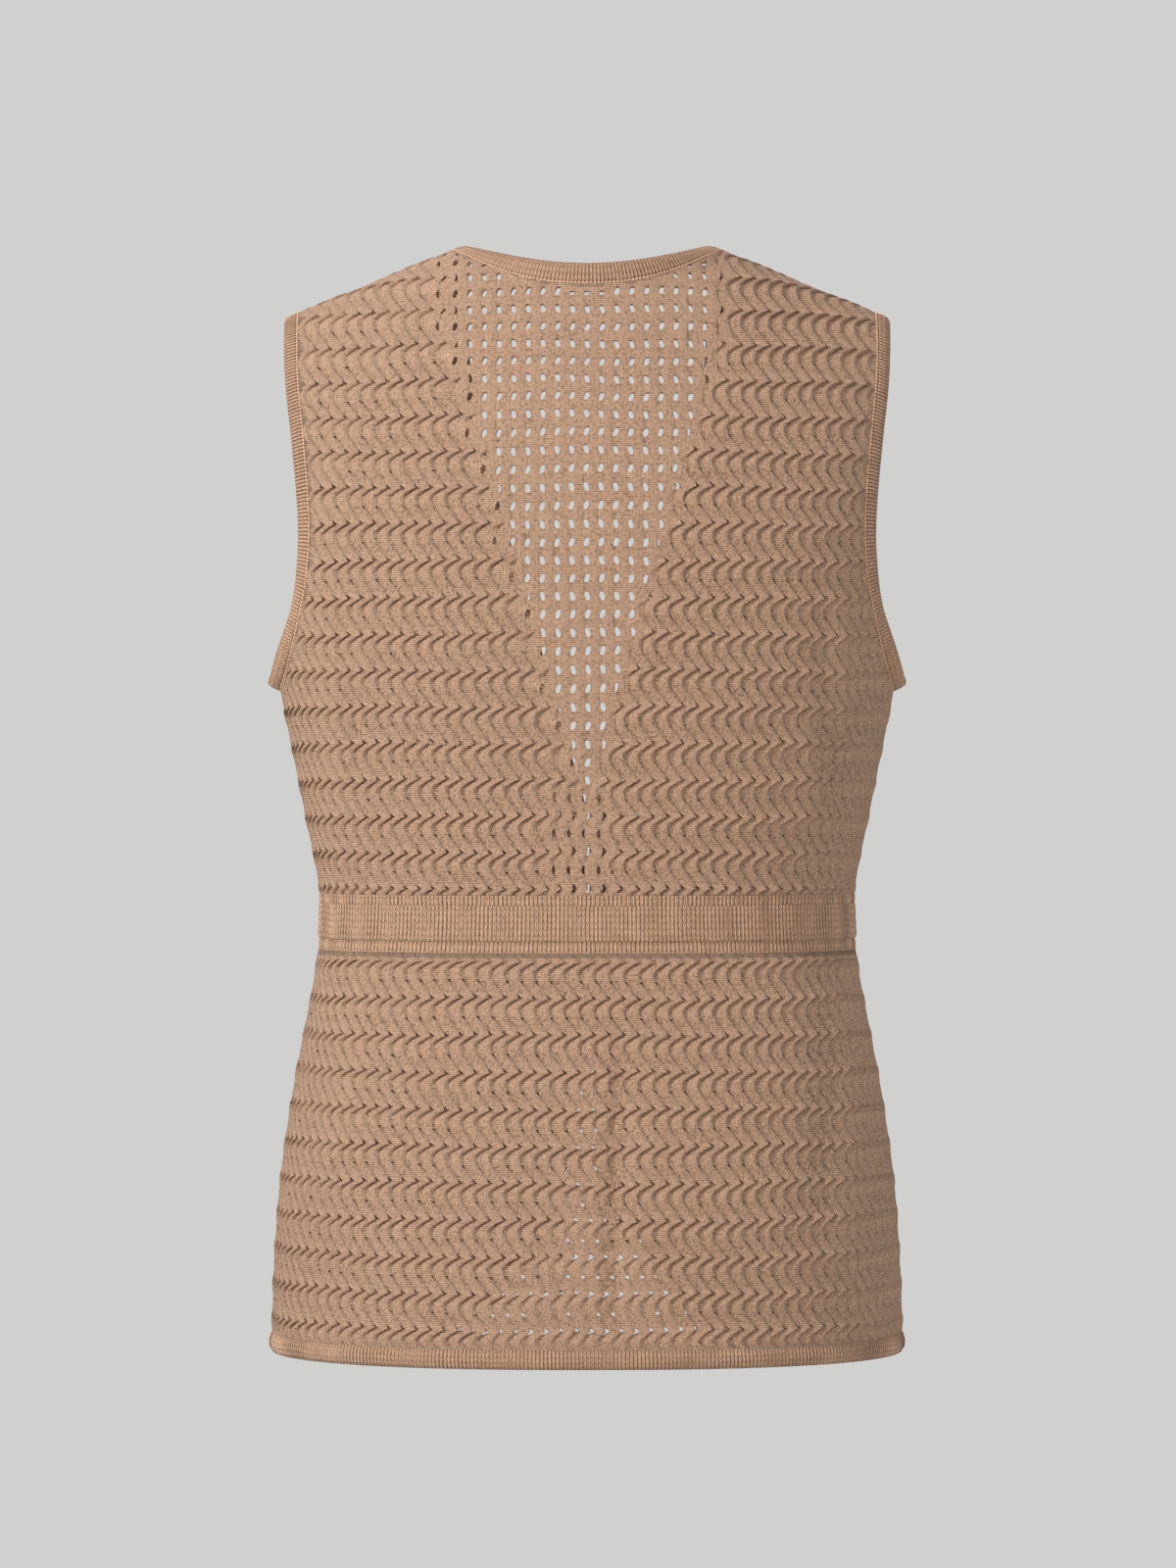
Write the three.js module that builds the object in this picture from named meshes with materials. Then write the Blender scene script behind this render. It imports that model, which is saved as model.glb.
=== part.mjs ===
// Tie-front knit vest, sleeveless, hollow as it is worn.
// Millimetres, +Z up. The front faces -Y, the wearer's left is +X.
// The origin lies midway between the two high shoulder points, where the
// wearer's shoulders carry the vest, so everything hangs below it.

import * as THREE from 'three';

// ---------------------------------------------------------------- sizes

const CLOTH = 2.5; // wall of the patterned knit
const RIB = 3; // wall of the rib bands
const RIB_PROUD = 0.25; // rib stands this far outside the knit beside it
const SEAM_GAP = 0.3; // between neighbouring pieces
const HALF_GAP = SEAM_GAP / 2;
const BAND_WIDTH = 8.5; // neck, front-edge and armhole rib

// heights of the cross seams
const UNDERARM = -245;
const WAIST_TOP = -356;
const WAIST_BOTTOM = -387;
const HEM_TOP = -597;
const HEM_BOTTOM = -608;

// shoulder line: one straight slope from neck to armhole
const SHOULDER_SLOPE = 0.4;
const SHOULDER_END = 159.5; // half width of the shoulder seam's outer end
const NECK_CORNER = 75; // half width of its neck end
const NECK_CORNER_DROP = 2;
const ROUNDING_START = -170; // above this the panels bend in to the shoulder

// back neck: seam of the rib (larger) and the rib's free edge (smaller)
const NECK_SEAM = { halfWidth: NECK_CORNER, depth: 67 };
const NECK_EDGE = { halfWidth: 67, depth: 64, drop: 14.4 };
const NECK_POWER = 2.2;
const NECK_LIFT_START = -40; // above this the front rib's edge climbs to the neck
const NECK_SEAM_START = -60; // above this the front seam turns in to the neck corner

// front V: free edge of the rib, a straight line that bends up at the neck
const FRONT_EDGE_MEETING = 1.2; // half the slit where the two edges meet
const V_POINT = -307;
const V_SLOPE = 0.285;
const V_HALF_WIDTH = 68;
const V_BEND_POWER = 12;

// skirt front edge: cut away below the waist
const CUTAWAY = 66;
const CUTAWAY_POWER = 3;

const SECTION_POWER = 2.35; // squareness of the body section, 2 is an ellipse
// roundness over the shoulder at the middle of the back and front, and at the arm
const TOP_POWER = { back: 3, front: 1.45, arm: 1.9 };

// the body the vest is cut for: half width at the side, depth to back and front
const FIGURE = [
  { height: -608, side: 174.0, back: 109, front: 106 },
  { height: -561, side: 172.5, back: 110, front: 105 },
  { height: -513, side: 169.0, back: 108, front: 103 },
  { height: -464, side: 162.0, back: 102, front: 99 },
  { height: -432, side: 156.0, back: 96, front: 95 },
  { height: -400, side: 150.0, back: 90, front: 91 },
  { height: -371, side: 147.0, back: 86, front: 89 },
  { height: -345, side: 149.0, back: 87, front: 91 },
  { height: -318, side: 154.5, back: 90, front: 95 },
  { height: -285, side: 161.0, back: 94, front: 101 },
  { height: -245, side: 169.0, back: 98, front: 107 },
  { height: -200, side: 176.0, back: 100, front: 109 },
  { height: -160, side: 181.0, back: 100, front: 109 },
  { height: -110, side: 186.0, back: 96, front: 103 },
  { height: -60, side: 189.0, back: 89, front: 91 },
  { height: 0, side: 190.0, back: 80, front: 74 },
];

// armhole seam: half width of the panels where the armhole rib is joined
const ARMHOLE = [
  { height: -245, side: 169.0 },
  { height: -240, side: 166.5 },
  { height: -230, side: 163.0 },
  { height: -220, side: 160.0 },
  { height: -204, side: 156.0 },
  { height: -188, side: 152.6 },
  { height: -163, side: 150.4 },
  { height: -139, side: 151.2 },
  { height: -107, side: 154.2 },
  { height: -72, side: 158.0 },
  { height: -36, side: 159.5 },
];

// armhole rib: it leans outwards at the underarm, as far out as up
const UNDERARM_FLARE = 1;
const FLARE_START = 200; // how far below the shoulder the leaning starts
const ARMHOLE_MIDDLE = { out: 60, height: -140 }; // what the rib's free edge faces

const WAIST_RECESS = 0.4; // the waistband is pressed in where the tie lies on it
const HEM_PROUD = 1.1; // the hem rib bulges out
const HEM_ROUND = 2.8; // height of its rounded edges

// tie: a flat band sewn round the waistband, knotted in front
const TIE = {
  wall: 3, // thickness
  edgeWall: 1.2, // thickness at its long edges
  edgeRound: 4, // width of the rounding towards them
  top: -362.5, // where it lies on the waistband
  bottom: -380.5,
  knotHalfWidth: 13,
  knotTop: -358.5,
  knotBottom: -383.5,
  knotDepth: 15,
  knotRound: 5,
  rootWidth: 12, // gathered where it leaves the knot
  endWidth: 18,
  spreadShare: 0.25, // share of a free end over which it spreads to that width
  clearance: 1, // between a free end and the front ribs it hangs over
};
const TIE_ENDS = [
  { name: 'tie_end_left', root: 6, end: 23, low: -588 },
  { name: 'tie_end_right', root: -6.4, end: -20, low: -563 },
];

// how finely the faceted walls are divided
const NECK_COLUMNS = 7;
const SHOULDER_COLUMNS = 7;
const FRONT_COLUMNS = 9;
const SKIRT_COLUMNS = 11; // in each half
const LOWER_ROWS = 4; // waist to underarm
const UPPER_ROWS = 12; // underarm to shoulder
const SKIRT_ROWS = 8;
const ROUND_SEGMENTS = 60; // waistband and hem, from front edge to front edge
const TIE_ROWS = 12;
const SECTION_STEPS = 48; // for measuring lengths round the body
const DIAGONAL_MARGIN = 0.5; // a quad is cut along its shorter diagonal

// ------------------------------------------------------- body surfaces

// value of one column of a table at a height, on a smooth curve
function columnAt(table, column, height) {
  const last = table.length - 1;
  if (height <= table[0].height) return table[0][column];
  if (height >= table[last].height) return table[last][column];
  let k = 0;
  while (table[k + 1].height < height) k += 1;
  const slopeOf = (i) => {
    const a = table[Math.max(i - 1, 0)];
    const b = table[Math.min(i + 1, last)];
    return (b[column] - a[column]) / (b.height - a.height);
  };
  const low = table[k];
  const high = table[k + 1];
  const span = high.height - low.height;
  const t = (height - low.height) / span;
  const rise = t * t * (3 - 2 * t);
  return low[column] * (1 - rise) + high[column] * rise
    + span * (t * (1 - t) * (1 - t) * slopeOf(k) - t * t * (1 - t) * slopeOf(k + 1));
}

// height of the ridge over the shoulder: straight along the shoulder seam, and
// levelling off towards the middle of the neck
function ridgeAt(x) {
  const wide = Math.abs(x);
  if (wide >= NECK_CORNER) return -NECK_CORNER_DROP - SHOULDER_SLOPE * (wide - NECK_CORNER);
  const rise = SHOULDER_SLOPE * (NECK_CORNER ** 2 - wide ** 2) / (2 * NECK_CORNER);
  return rise - NECK_CORNER_DROP;
}

const SHOULDER_TIP = ridgeAt(SHOULDER_END);

function halfWidthAt(height) {
  if (height <= UNDERARM) return columnAt(FIGURE, 'side', height);
  return columnAt(ARMHOLE, 'side', Math.min(height, SHOULDER_TIP));
}

const roundingPower = (face, x) => THREE.MathUtils.lerp(TOP_POWER[face], TOP_POWER.arm,
  THREE.MathUtils.smoothstep(Math.abs(x), 0, SHOULDER_END));

// how far the front or the back lies from the shoulder-and-side seam plane
function bodyDepth(face, x, height) {
  const share = Math.min(Math.abs(x) / columnAt(FIGURE, 'side', height), 1);
  const full = columnAt(FIGURE, face, height)
    * (1 - share ** SECTION_POWER) ** (1 / SECTION_POWER);
  const climb = THREE.MathUtils.clamp(
    (height - ROUNDING_START) / (ridgeAt(x) - ROUNDING_START), 0, 1);
  const power = roundingPower(face, x);
  return full * (1 - climb ** power) ** (1 / power);
}

// height at which that surface has a given depth, above the rounding's start
function heightOfDepth(face, x, depth) {
  const rounds = 30;
  let low = ROUNDING_START;
  let high = ridgeAt(x);
  for (let k = 0; k < rounds; k += 1) {
    const middle = (low + high) / 2;
    if (bodyDepth(face, x, middle) > depth) low = middle;
    else high = middle;
  }
  return (low + high) / 2;
}

const facing = (face) => (face === 'back' ? 1 : -1);

function bodyPoint(face, x, height) {
  const depth = bodyDepth(face, x, height) + HALF_GAP;
  return new THREE.Vector3(x, facing(face) * depth, height);
}

// outward normal; `seam` squares the wall's end to the seam it lies on
function bodyNormal(face, x, height, seam = 'none') {
  const normal = new THREE.Vector3();
  const step = 0.05;
  if (seam === 'side' || seam === 'corner') {
    const lean = columnAt(FIGURE, 'side', height + step)
      - columnAt(FIGURE, 'side', height - step);
    normal.set(Math.sign(x), 0, seam === 'corner' ? 0 : -lean / (2 * step));
  } else if (seam === 'shoulder') {
    normal.set(Math.sign(x) * SHOULDER_SLOPE, 0, 1);
  } else {
    const slope = (dx, dz) => (bodyDepth(face, x + dx, height + dz)
      - bodyDepth(face, x - dx, height - dz)) / (2 * step);
    normal.set(-slope(step, 0), facing(face), seam === 'cross' ? 0 : -slope(0, step));
  }
  return normal.normalize();
}

// a point of a panel with its normal
const spot = (face, x, height, seam) => ({
  point: bodyPoint(face, x, height),
  normal: bodyNormal(face, x, height, seam),
});

// depth of a neck line behind the shoulder seam
const neckDepth = (line, x) => line.depth
  * (1 - Math.min(Math.abs(x) / line.halfWidth, 1) ** NECK_POWER) ** (1 / NECK_POWER);

// x that lies a share of the way round the section between two half widths
function acrossAt(face, inner, outer, share, height) {
  const side = columnAt(FIGURE, 'side', height);
  const deep = columnAt(FIGURE, face, height);
  const angleOf = (x) => Math.asin(Math.min(x / side, 1) ** (SECTION_POWER / 2));
  const from = angleOf(inner);
  const to = angleOf(outer);
  const steps = SECTION_STEPS;
  const points = [];
  for (let i = 0; i <= steps; i += 1) {
    const angle = from + (to - from) * i / steps;
    points.push(new THREE.Vector2(
      side * Math.sin(angle) ** (2 / SECTION_POWER),
      deep * Math.max(Math.cos(angle), 0) ** (2 / SECTION_POWER)));
  }
  const lengths = [0];
  for (let i = 1; i <= steps; i += 1) {
    lengths.push(lengths[i - 1] + points[i].distanceTo(points[i - 1]));
  }
  const wanted = share * lengths[steps];
  let k = 1;
  while (k < steps && lengths[k] < wanted) k += 1;
  const t = (wanted - lengths[k - 1]) / (lengths[k] - lengths[k - 1]);
  return points[k - 1].x + (points[k].x - points[k - 1].x) * t;
}

// free edge of the front rib, a half width at each height
function frontEdgeAt(height) {
  if (height <= WAIST_BOTTOM) {
    const drop = (WAIST_BOTTOM - height) / (WAIST_BOTTOM - HEM_BOTTOM);
    return FRONT_EDGE_MEETING + CUTAWAY * drop ** CUTAWAY_POWER;
  }
  const line = Math.max(V_SLOPE * (height - V_POINT), 0) + FRONT_EDGE_MEETING;
  return (line ** -V_BEND_POWER + V_HALF_WIDTH ** -V_BEND_POWER) ** (-1 / V_BEND_POWER);
}

// seam where the front panel meets that rib
function frontSeamAt(height) {
  const step = 0.5;
  const lean = (frontEdgeAt(height + step) - frontEdgeAt(height - step)) / (2 * step);
  const seam = frontEdgeAt(height) + BAND_WIDTH * Math.hypot(1, lean);
  const nearNeck = THREE.MathUtils.smoothstep(height, NECK_SEAM_START,
    -NECK_CORNER_DROP);
  return THREE.MathUtils.lerp(seam, NECK_CORNER, nearNeck);
}

// ------------------------------------------------------- solid builders

// a closed wall between two grids of points, the outer and the inner surface;
// a looped wall joins its last row to its first
function wallGeometry(outer, inner, looped = false) {
  const rows = outer.length;
  const columns = outer[0].length;
  const places = [];
  for (const grid of [outer, inner]) {
    for (const row of grid) for (const p of row) places.push(p.x, p.y, p.z);
  }
  const at = (layer, r, c) => (layer * rows + (r % rows)) * columns + c;
  const faces = [];
  const place = (k) => new THREE.Vector3().fromArray(places, 3 * k);
  const quad = (a, b, c, d) => {
    const first = place(a).distanceTo(place(c));
    const second = place(b).distanceTo(place(d));
    if (first > second + DIAGONAL_MARGIN) faces.push(a, b, d, b, c, d);
    else faces.push(a, b, c, a, c, d);
  };
  const spans = looped ? rows : rows - 1;
  for (let r = 0; r < spans; r += 1) {
    for (let c = 0; c < columns - 1; c += 1) {
      quad(at(0, r, c), at(0, r, c + 1), at(0, r + 1, c + 1), at(0, r + 1, c));
      quad(at(1, r, c), at(1, r + 1, c), at(1, r + 1, c + 1), at(1, r, c + 1));
    }
    const end = columns - 1;
    quad(at(0, r, 0), at(0, r + 1, 0), at(1, r + 1, 0), at(1, r, 0));
    quad(at(0, r, end), at(1, r, end), at(1, r + 1, end), at(0, r + 1, end));
  }
  if (!looped) {
    const top = rows - 1;
    for (let c = 0; c < columns - 1; c += 1) {
      quad(at(0, 0, c), at(1, 0, c), at(1, 0, c + 1), at(0, 0, c + 1));
      quad(at(0, top, c), at(0, top, c + 1), at(1, top, c + 1), at(1, top, c));
    }
  }
  if (enclosedVolume(places, faces) < 0) faces.reverse();
  const geometry = new THREE.BufferGeometry();
  geometry.setAttribute('position', new THREE.Float32BufferAttribute(places, 3));
  geometry.setIndex(faces);
  geometry.computeVertexNormals();
  return geometry;
}

function enclosedVolume(places, faces) {
  const corner = (k) => new THREE.Vector3().fromArray(places, 3 * faces[k]);
  let volume = 0;
  for (let k = 0; k < faces.length; k += 3) {
    volume += corner(k).dot(corner(k + 1).cross(corner(k + 2))) / 6;
  }
  return volume;
}

const clothMaterial = (color) => new THREE.MeshStandardMaterial({
  color, roughness: 0.9, metalness: 0,
});

const vest = new THREE.Group();

function addPiece(name, geometry, color) {
  const piece = new THREE.Mesh(geometry, clothMaterial(color));
  piece.name = name;
  vest.add(piece);
}

const KNIT_COLOR = 0xb88d6b;
const RIB_COLOR = 0xae8462;

// ------------------------------------------------------------- panels

const TOP_ROW = LOWER_ROWS + UPPER_ROWS;

// height of a bodice row; the rows are finer near the underarm and the shoulder
function bodiceRowHeight(row, topHeight) {
  if (row < LOWER_ROWS) return WAIST_TOP + (UNDERARM - WAIST_TOP) * row / LOWER_ROWS;
  const climb = (1 - Math.cos(Math.PI * (row - LOWER_ROWS) / UPPER_ROWS)) / 2;
  return UNDERARM + (topHeight - UNDERARM) * climb;
}

// one bodice column from the waist to its top; `xAt` gives its x at a height
function bodiceColumn(face, xAt, topX, topHeight, onSide, onShoulder) {
  const spots = [];
  for (let row = 0; row <= TOP_ROW; row += 1) {
    const height = bodiceRowHeight(row, topHeight);
    const x = row === TOP_ROW ? topX : xAt(height);
    let seam = 'none';
    if (row === 0) seam = onSide ? 'corner' : 'cross';
    else if (onSide && row <= LOWER_ROWS) seam = 'side';
    else if (onShoulder && row === TOP_ROW) seam = 'shoulder';
    spots.push(spot(face, x, height, seam));
  }
  return spots;
}

// columns to rows
const turned = (columns) => columns[0].map((_, r) => columns.map((column) => column[r]));

// x of a bodice column: evenly spaced round the body at the underarm and below,
// and straight up to its stop at the shoulder
function columnX(face, inner, height, share, stop) {
  if (height >= SHOULDER_TIP) return stop;
  const outer = halfWidthAt(height);
  const settle = THREE.MathUtils.smoothstep(height, UNDERARM, SHOULDER_TIP);
  const even = acrossAt(face, inner, outer, share, height);
  return THREE.MathUtils.lerp(even, inner + (outer - inner) * share, settle);
}

function backBodice() {
  const stops = [];
  for (let k = 0; k <= NECK_COLUMNS; k += 1) {
    stops.push(NECK_CORNER * Math.sin(Math.PI / 2 * k / NECK_COLUMNS));
  }
  for (let k = 1; k <= SHOULDER_COLUMNS; k += 1) {
    stops.push(NECK_CORNER + (SHOULDER_END - NECK_CORNER) * k / SHOULDER_COLUMNS);
  }
  const last = stops.length - 1;
  const columns = [];
  for (let k = -last; k <= last; k += 1) {
    const stop = stops[Math.abs(k)];
    const sign = Math.sign(k);
    const onShoulder = Math.abs(k) >= NECK_COLUMNS;
    const topHeight = onShoulder ? ridgeAt(stop)
      : heightOfDepth('back', stop, neckDepth(NECK_SEAM, stop));
    const xAt = (height) => sign * columnX('back', 0, height, stop / SHOULDER_END, stop);
    columns.push(bodiceColumn('back', xAt, sign * stop, topHeight,
      Math.abs(k) === last, onShoulder));
  }
  return turned(columns);
}

function frontBodice(sign) {
  const columns = [];
  for (let k = 0; k <= FRONT_COLUMNS; k += 1) {
    const share = k / FRONT_COLUMNS;
    const stop = NECK_CORNER + (SHOULDER_END - NECK_CORNER) * share;
    const xAt = (height) => {
      const inner = frontSeamAt(height);
      const x = columnX('front', inner, height, share, stop);
      return sign * (height < SHOULDER_TIP ? x : Math.max(inner, x));
    };
    columns.push(bodiceColumn('front', xAt, sign * stop, ridgeAt(stop),
      k === FRONT_COLUMNS, true));
  }
  return turned(columns);
}

function skirtPanel(face, sign) {
  const whole = face === 'back';
  const first = whole ? -SKIRT_COLUMNS : 0;
  const top = WAIST_BOTTOM - SEAM_GAP;
  const rows = [];
  for (let row = 0; row <= SKIRT_ROWS; row += 1) {
    const height = HEM_TOP + (top - HEM_TOP) * row / SKIRT_ROWS;
    const inner = whole ? 0 : frontSeamAt(height);
    const atCross = row === 0 || row === SKIRT_ROWS;
    const spots = [];
    for (let k = first; k <= SKIRT_COLUMNS; k += 1) {
      const share = Math.abs(k) / SKIRT_COLUMNS;
      const x = acrossAt(face, inner, halfWidthAt(height), share, height);
      const onSide = share === 1;
      let seam = onSide ? 'side' : 'none';
      if (atCross) seam = onSide ? 'corner' : 'cross';
      spots.push(spot(face, (whole ? Math.sign(k) : sign) * x, height, seam));
    }
    rows.push(spots);
  }
  return rows;
}

const pointsOf = (rows, distance) => rows.map((row) => row.map(
  ({ point, normal }) => point.clone().addScaledVector(normal, distance)));

function addPanel(name, rows) {
  addPiece(name, wallGeometry(pointsOf(rows, 0), pointsOf(rows, -CLOTH)), KNIT_COLOR);
}

const back = backBodice();
const frontLeft = frontBodice(1);
const frontRight = frontBodice(-1);
const skirtLeft = skirtPanel('front', 1);
const skirtRight = skirtPanel('front', -1);
addPanel('back_bodice', back);
addPanel('front_bodice_left', frontLeft);
addPanel('front_bodice_right', frontRight);
addPanel('back_skirt', skirtPanel('back', 1));
addPanel('front_skirt_left', skirtLeft);
addPanel('front_skirt_right', skirtRight);

// ---------------------------------------------------------- rib bands

// the part of a vector that lies square to a unit direction
const squareTo = (vector, direction) => vector.clone()
  .addScaledVector(direction, -vector.dot(direction)).normalize();

// a rib strip from its seam, a line of spots, to its free edge, a line of points;
// at the seam its wall is parallel to the knit's end wall
function ribStrip(name, seam, edge, looped = false) {
  const outer = [];
  const inner = [];
  seam.forEach(({ point, normal }, k) => {
    const width = edge[k].clone().sub(point).normalize();
    const edgeNormal = squareTo(normal, width);
    const root = point.clone().addScaledVector(squareTo(width, normal), SEAM_GAP);
    const wallAt = (distance) => [
      root.clone().addScaledVector(normal, distance),
      edge[k].clone().addScaledVector(edgeNormal, distance),
    ];
    outer.push(wallAt(RIB_PROUD));
    inner.push(wallAt(RIB_PROUD - RIB));
  });
  addPiece(name, wallGeometry(outer, inner, looped), RIB_COLOR);
}

// the neck rib runs up one front edge, round the back neck and down the other
function neckBand() {
  const seam = [];
  const edge = [];
  const addFront = (panel, sign, row) => {
    const start = panel[row][0];
    const height = start.point.z;
    const lift = NECK_CORNER_DROP
      * THREE.MathUtils.smoothstep(height, NECK_LIFT_START, -NECK_CORNER_DROP);
    const free = bodyPoint('front', sign * frontEdgeAt(height), height);
    free.z += lift;
    seam.push(start);
    edge.push(free);
  };
  const addCorner = (sign) => {
    seam.push({
      point: new THREE.Vector3(sign * NECK_CORNER, 0, -NECK_CORNER_DROP),
      normal: bodyNormal('back', sign * NECK_CORNER, -NECK_CORNER_DROP, 'shoulder'),
    });
    edge.push(new THREE.Vector3(sign * NECK_EDGE.halfWidth, 0, 0));
  };
  const middle = (back[TOP_ROW].length - 1) / 2;
  for (let row = 0; row < TOP_ROW; row += 1) addFront(frontLeft, 1, row);
  addCorner(1);
  for (let k = NECK_COLUMNS - 1; k > -NECK_COLUMNS; k -= 1) {
    const start = back[TOP_ROW][middle + k];
    const share = start.point.x / NECK_CORNER;
    const x = share * NECK_EDGE.halfWidth;
    seam.push(start);
    edge.push(new THREE.Vector3(x, neckDepth(NECK_EDGE, x),
      -NECK_EDGE.drop * (1 - share * share)));
  }
  addCorner(-1);
  for (let row = TOP_ROW - 1; row >= 0; row -= 1) addFront(frontRight, -1, row);
  ribStrip('neck_and_front_band', seam, edge);
}

// the armhole rib is a closed ring round the back edge and the front edge
function armholeBand(name, sign) {
  const backColumn = sign > 0 ? back[0].length - 1 : 0;
  const front = sign > 0 ? frontLeft : frontRight;
  const seam = [];
  for (let row = LOWER_ROWS; row <= TOP_ROW; row += 1) seam.push(back[row][backColumn]);
  for (let row = TOP_ROW - 1; row > LOWER_ROWS; row -= 1) {
    seam.push(front[row][FRONT_COLUMNS]);
  }
  for (const k of [0, UPPER_ROWS]) {
    const { point, normal } = seam[k];
    seam[k] = { point: point.clone().setY(0), normal };
  }
  const count = seam.length;
  const edge = seam.map(({ point, normal }, k) => {
    const along = seam[(k + 1) % count].point.clone()
      .sub(seam[(k + count - 1) % count].point);
    const width = along.cross(normal).normalize();
    const opening = new THREE.Vector3(sign * ARMHOLE_MIDDLE.out, -point.y,
      ARMHOLE_MIDDLE.height - point.z);
    if (width.dot(opening) < 0) width.negate();
    const nearUnderarm = THREE.MathUtils.smoothstep(-point.z, FLARE_START, -UNDERARM);
    width.addScaledVector(normal, UNDERARM_FLARE * nearUnderarm).normalize();
    return point.clone().addScaledVector(width, BAND_WIDTH);
  });
  ribStrip(name, seam, edge, true);
}

// rib on the cut-away front edge of the skirt
function skirtBand(name, panel, sign) {
  const seam = panel.map((row) => row[0]);
  const edge = seam.map(({ point: { z } }) => bodyPoint('front', sign * frontEdgeAt(z), z));
  ribStrip(name, seam, edge);
}

neckBand();
armholeBand('armhole_band_left', 1);
armholeBand('armhole_band_right', -1);
skirtBand('skirt_front_band_left', skirtLeft, 1);
skirtBand('skirt_front_band_right', skirtRight, -1);

// ------------------------------------------- waistband, tie and hem rib

// points round the body at one height, from the left front edge round the back
// to the right one; `starts` are the half widths of its first points
function roundTheBody(height, starts) {
  const half = ROUND_SEGMENTS / 4;
  const side = halfWidthAt(height);
  const face = starts.map((x) => ['front', 1, x]);
  for (let k = 1; k < half; k += 1) {
    face.push(['front', 1, acrossAt('front', starts.at(-1), side, k / half, height)]);
  }
  face.push(['side', 1, side]);
  for (let k = half - 1; k >= 0; k -= 1) {
    face.push(['back', 1, acrossAt('back', 0, side, k / half, height)]);
  }
  const mirrored = face.slice(0, -1).reverse().map(([name, , x]) => [name, -1, x]);
  return [...face, ...mirrored].map(([name, sign, x]) => {
    if (name === 'side') return new THREE.Vector3(sign * x, 0, height);
    return bodyPoint(name, sign * x, height);
  });
}

// level outward directions of a line of points round the body
function levelNormals(line) {
  return line.map((p, k) => {
    const after = line[Math.min(k + 1, line.length - 1)];
    const before = line[Math.max(k - 1, 0)];
    const normal = new THREE.Vector3(after.y - before.y, before.x - after.x, 0);
    if (normal.dot(p.clone().setZ(0)) < 0) normal.negate();
    return normal.normalize();
  });
}

// a band round the body: rows of { height, out, in } give its section, as
// distances outside the body surface; `shorter` leaves points off at both ends
function roundBand(name, starts, section, shorter = 0) {
  const grids = ['out', 'in'].map((wall) => {
    const lines = section.map((row) => {
      const line = roundTheBody(row.height, starts);
      const normals = levelNormals(line);
      const placed = line.map((p, k) => p.addScaledVector(normals[k], row[wall]));
      return placed.slice(shorter, placed.length - shorter);
    });
    return turned(lines);
  });
  addPiece(name, wallGeometry(grids[0], grids[1]), RIB_COLOR);
}

// the waistband lies a little deeper under the tie; the tie is made from the
// waistband's own points, moved out
const underTie = -WAIST_RECESS;
const onWaist = underTie + SEAM_GAP;
const waistStarts = [FRONT_EDGE_MEETING, TIE.knotHalfWidth + SEAM_GAP];
roundBand('waistband', waistStarts, [
  { height: WAIST_TOP - SEAM_GAP, out: 0, in: -CLOTH },
  { height: TIE.top, out: underTie, in: -CLOTH },
  { height: TIE.top - TIE.edgeRound, out: underTie, in: -CLOTH },
  { height: TIE.bottom + TIE.edgeRound, out: underTie, in: -CLOTH },
  { height: TIE.bottom, out: underTie, in: -CLOTH },
  { height: WAIST_BOTTOM, out: 0, in: -CLOTH },
]);
roundBand('tie_band', waistStarts, [
  { height: TIE.top, out: onWaist + TIE.edgeWall, in: onWaist },
  { height: TIE.top - TIE.edgeRound, out: onWaist + TIE.wall, in: onWaist },
  { height: TIE.bottom + TIE.edgeRound, out: onWaist + TIE.wall, in: onWaist },
  { height: TIE.bottom, out: onWaist + TIE.edgeWall, in: onWaist },
], 1);

roundBand('hem_band', [frontEdgeAt((HEM_TOP + HEM_BOTTOM) / 2)], [
  { height: HEM_TOP - SEAM_GAP, out: 0, in: -RIB },
  { height: HEM_TOP - HEM_ROUND, out: HEM_PROUD, in: -RIB - HEM_PROUD / 2 },
  { height: HEM_BOTTOM + HEM_ROUND, out: HEM_PROUD, in: -RIB - HEM_PROUD / 2 },
  { height: HEM_BOTTOM, out: -HEM_PROUD / 3, in: -RIB + HEM_PROUD / 3 },
]);

// the knot: a flattened, rounded block in front of the waistband
function tieKnot() {
  const width = TIE.knotHalfWidth - TIE.knotRound / 2;
  const high = (TIE.knotTop - TIE.knotBottom) / 2 - TIE.knotRound / 2;
  const outline = new THREE.Shape();
  const bend = TIE.knotRound;
  outline.moveTo(-width + bend, -high);
  outline.lineTo(width - bend, -high);
  outline.quadraticCurveTo(width, -high, width, -high + bend);
  outline.lineTo(width, high - bend);
  outline.quadraticCurveTo(width, high, width - bend, high);
  outline.lineTo(-width + bend, high);
  outline.quadraticCurveTo(-width, high, -width, high - bend);
  outline.lineTo(-width, -high + bend);
  outline.quadraticCurveTo(-width, -high, -width + bend, -high);
  const geometry = new THREE.ExtrudeGeometry(outline, {
    depth: TIE.knotDepth - TIE.knotRound,
    bevelThickness: TIE.knotRound / 2,
    bevelSize: TIE.knotRound / 2,
    bevelSegments: 3,
    curveSegments: 3,
  });
  const knot = new THREE.Mesh(geometry, clothMaterial(RIB_COLOR));
  knot.name = 'tie_knot';
  const front = columnAt(FIGURE, 'front', TIE.knotTop);
  knot.rotation.x = Math.PI / 2;
  knot.position.set(0, -front - SEAM_GAP - HALF_GAP - TIE.knotRound / 2,
    (TIE.knotTop + TIE.knotBottom) / 2);
  vest.add(knot);
}

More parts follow.
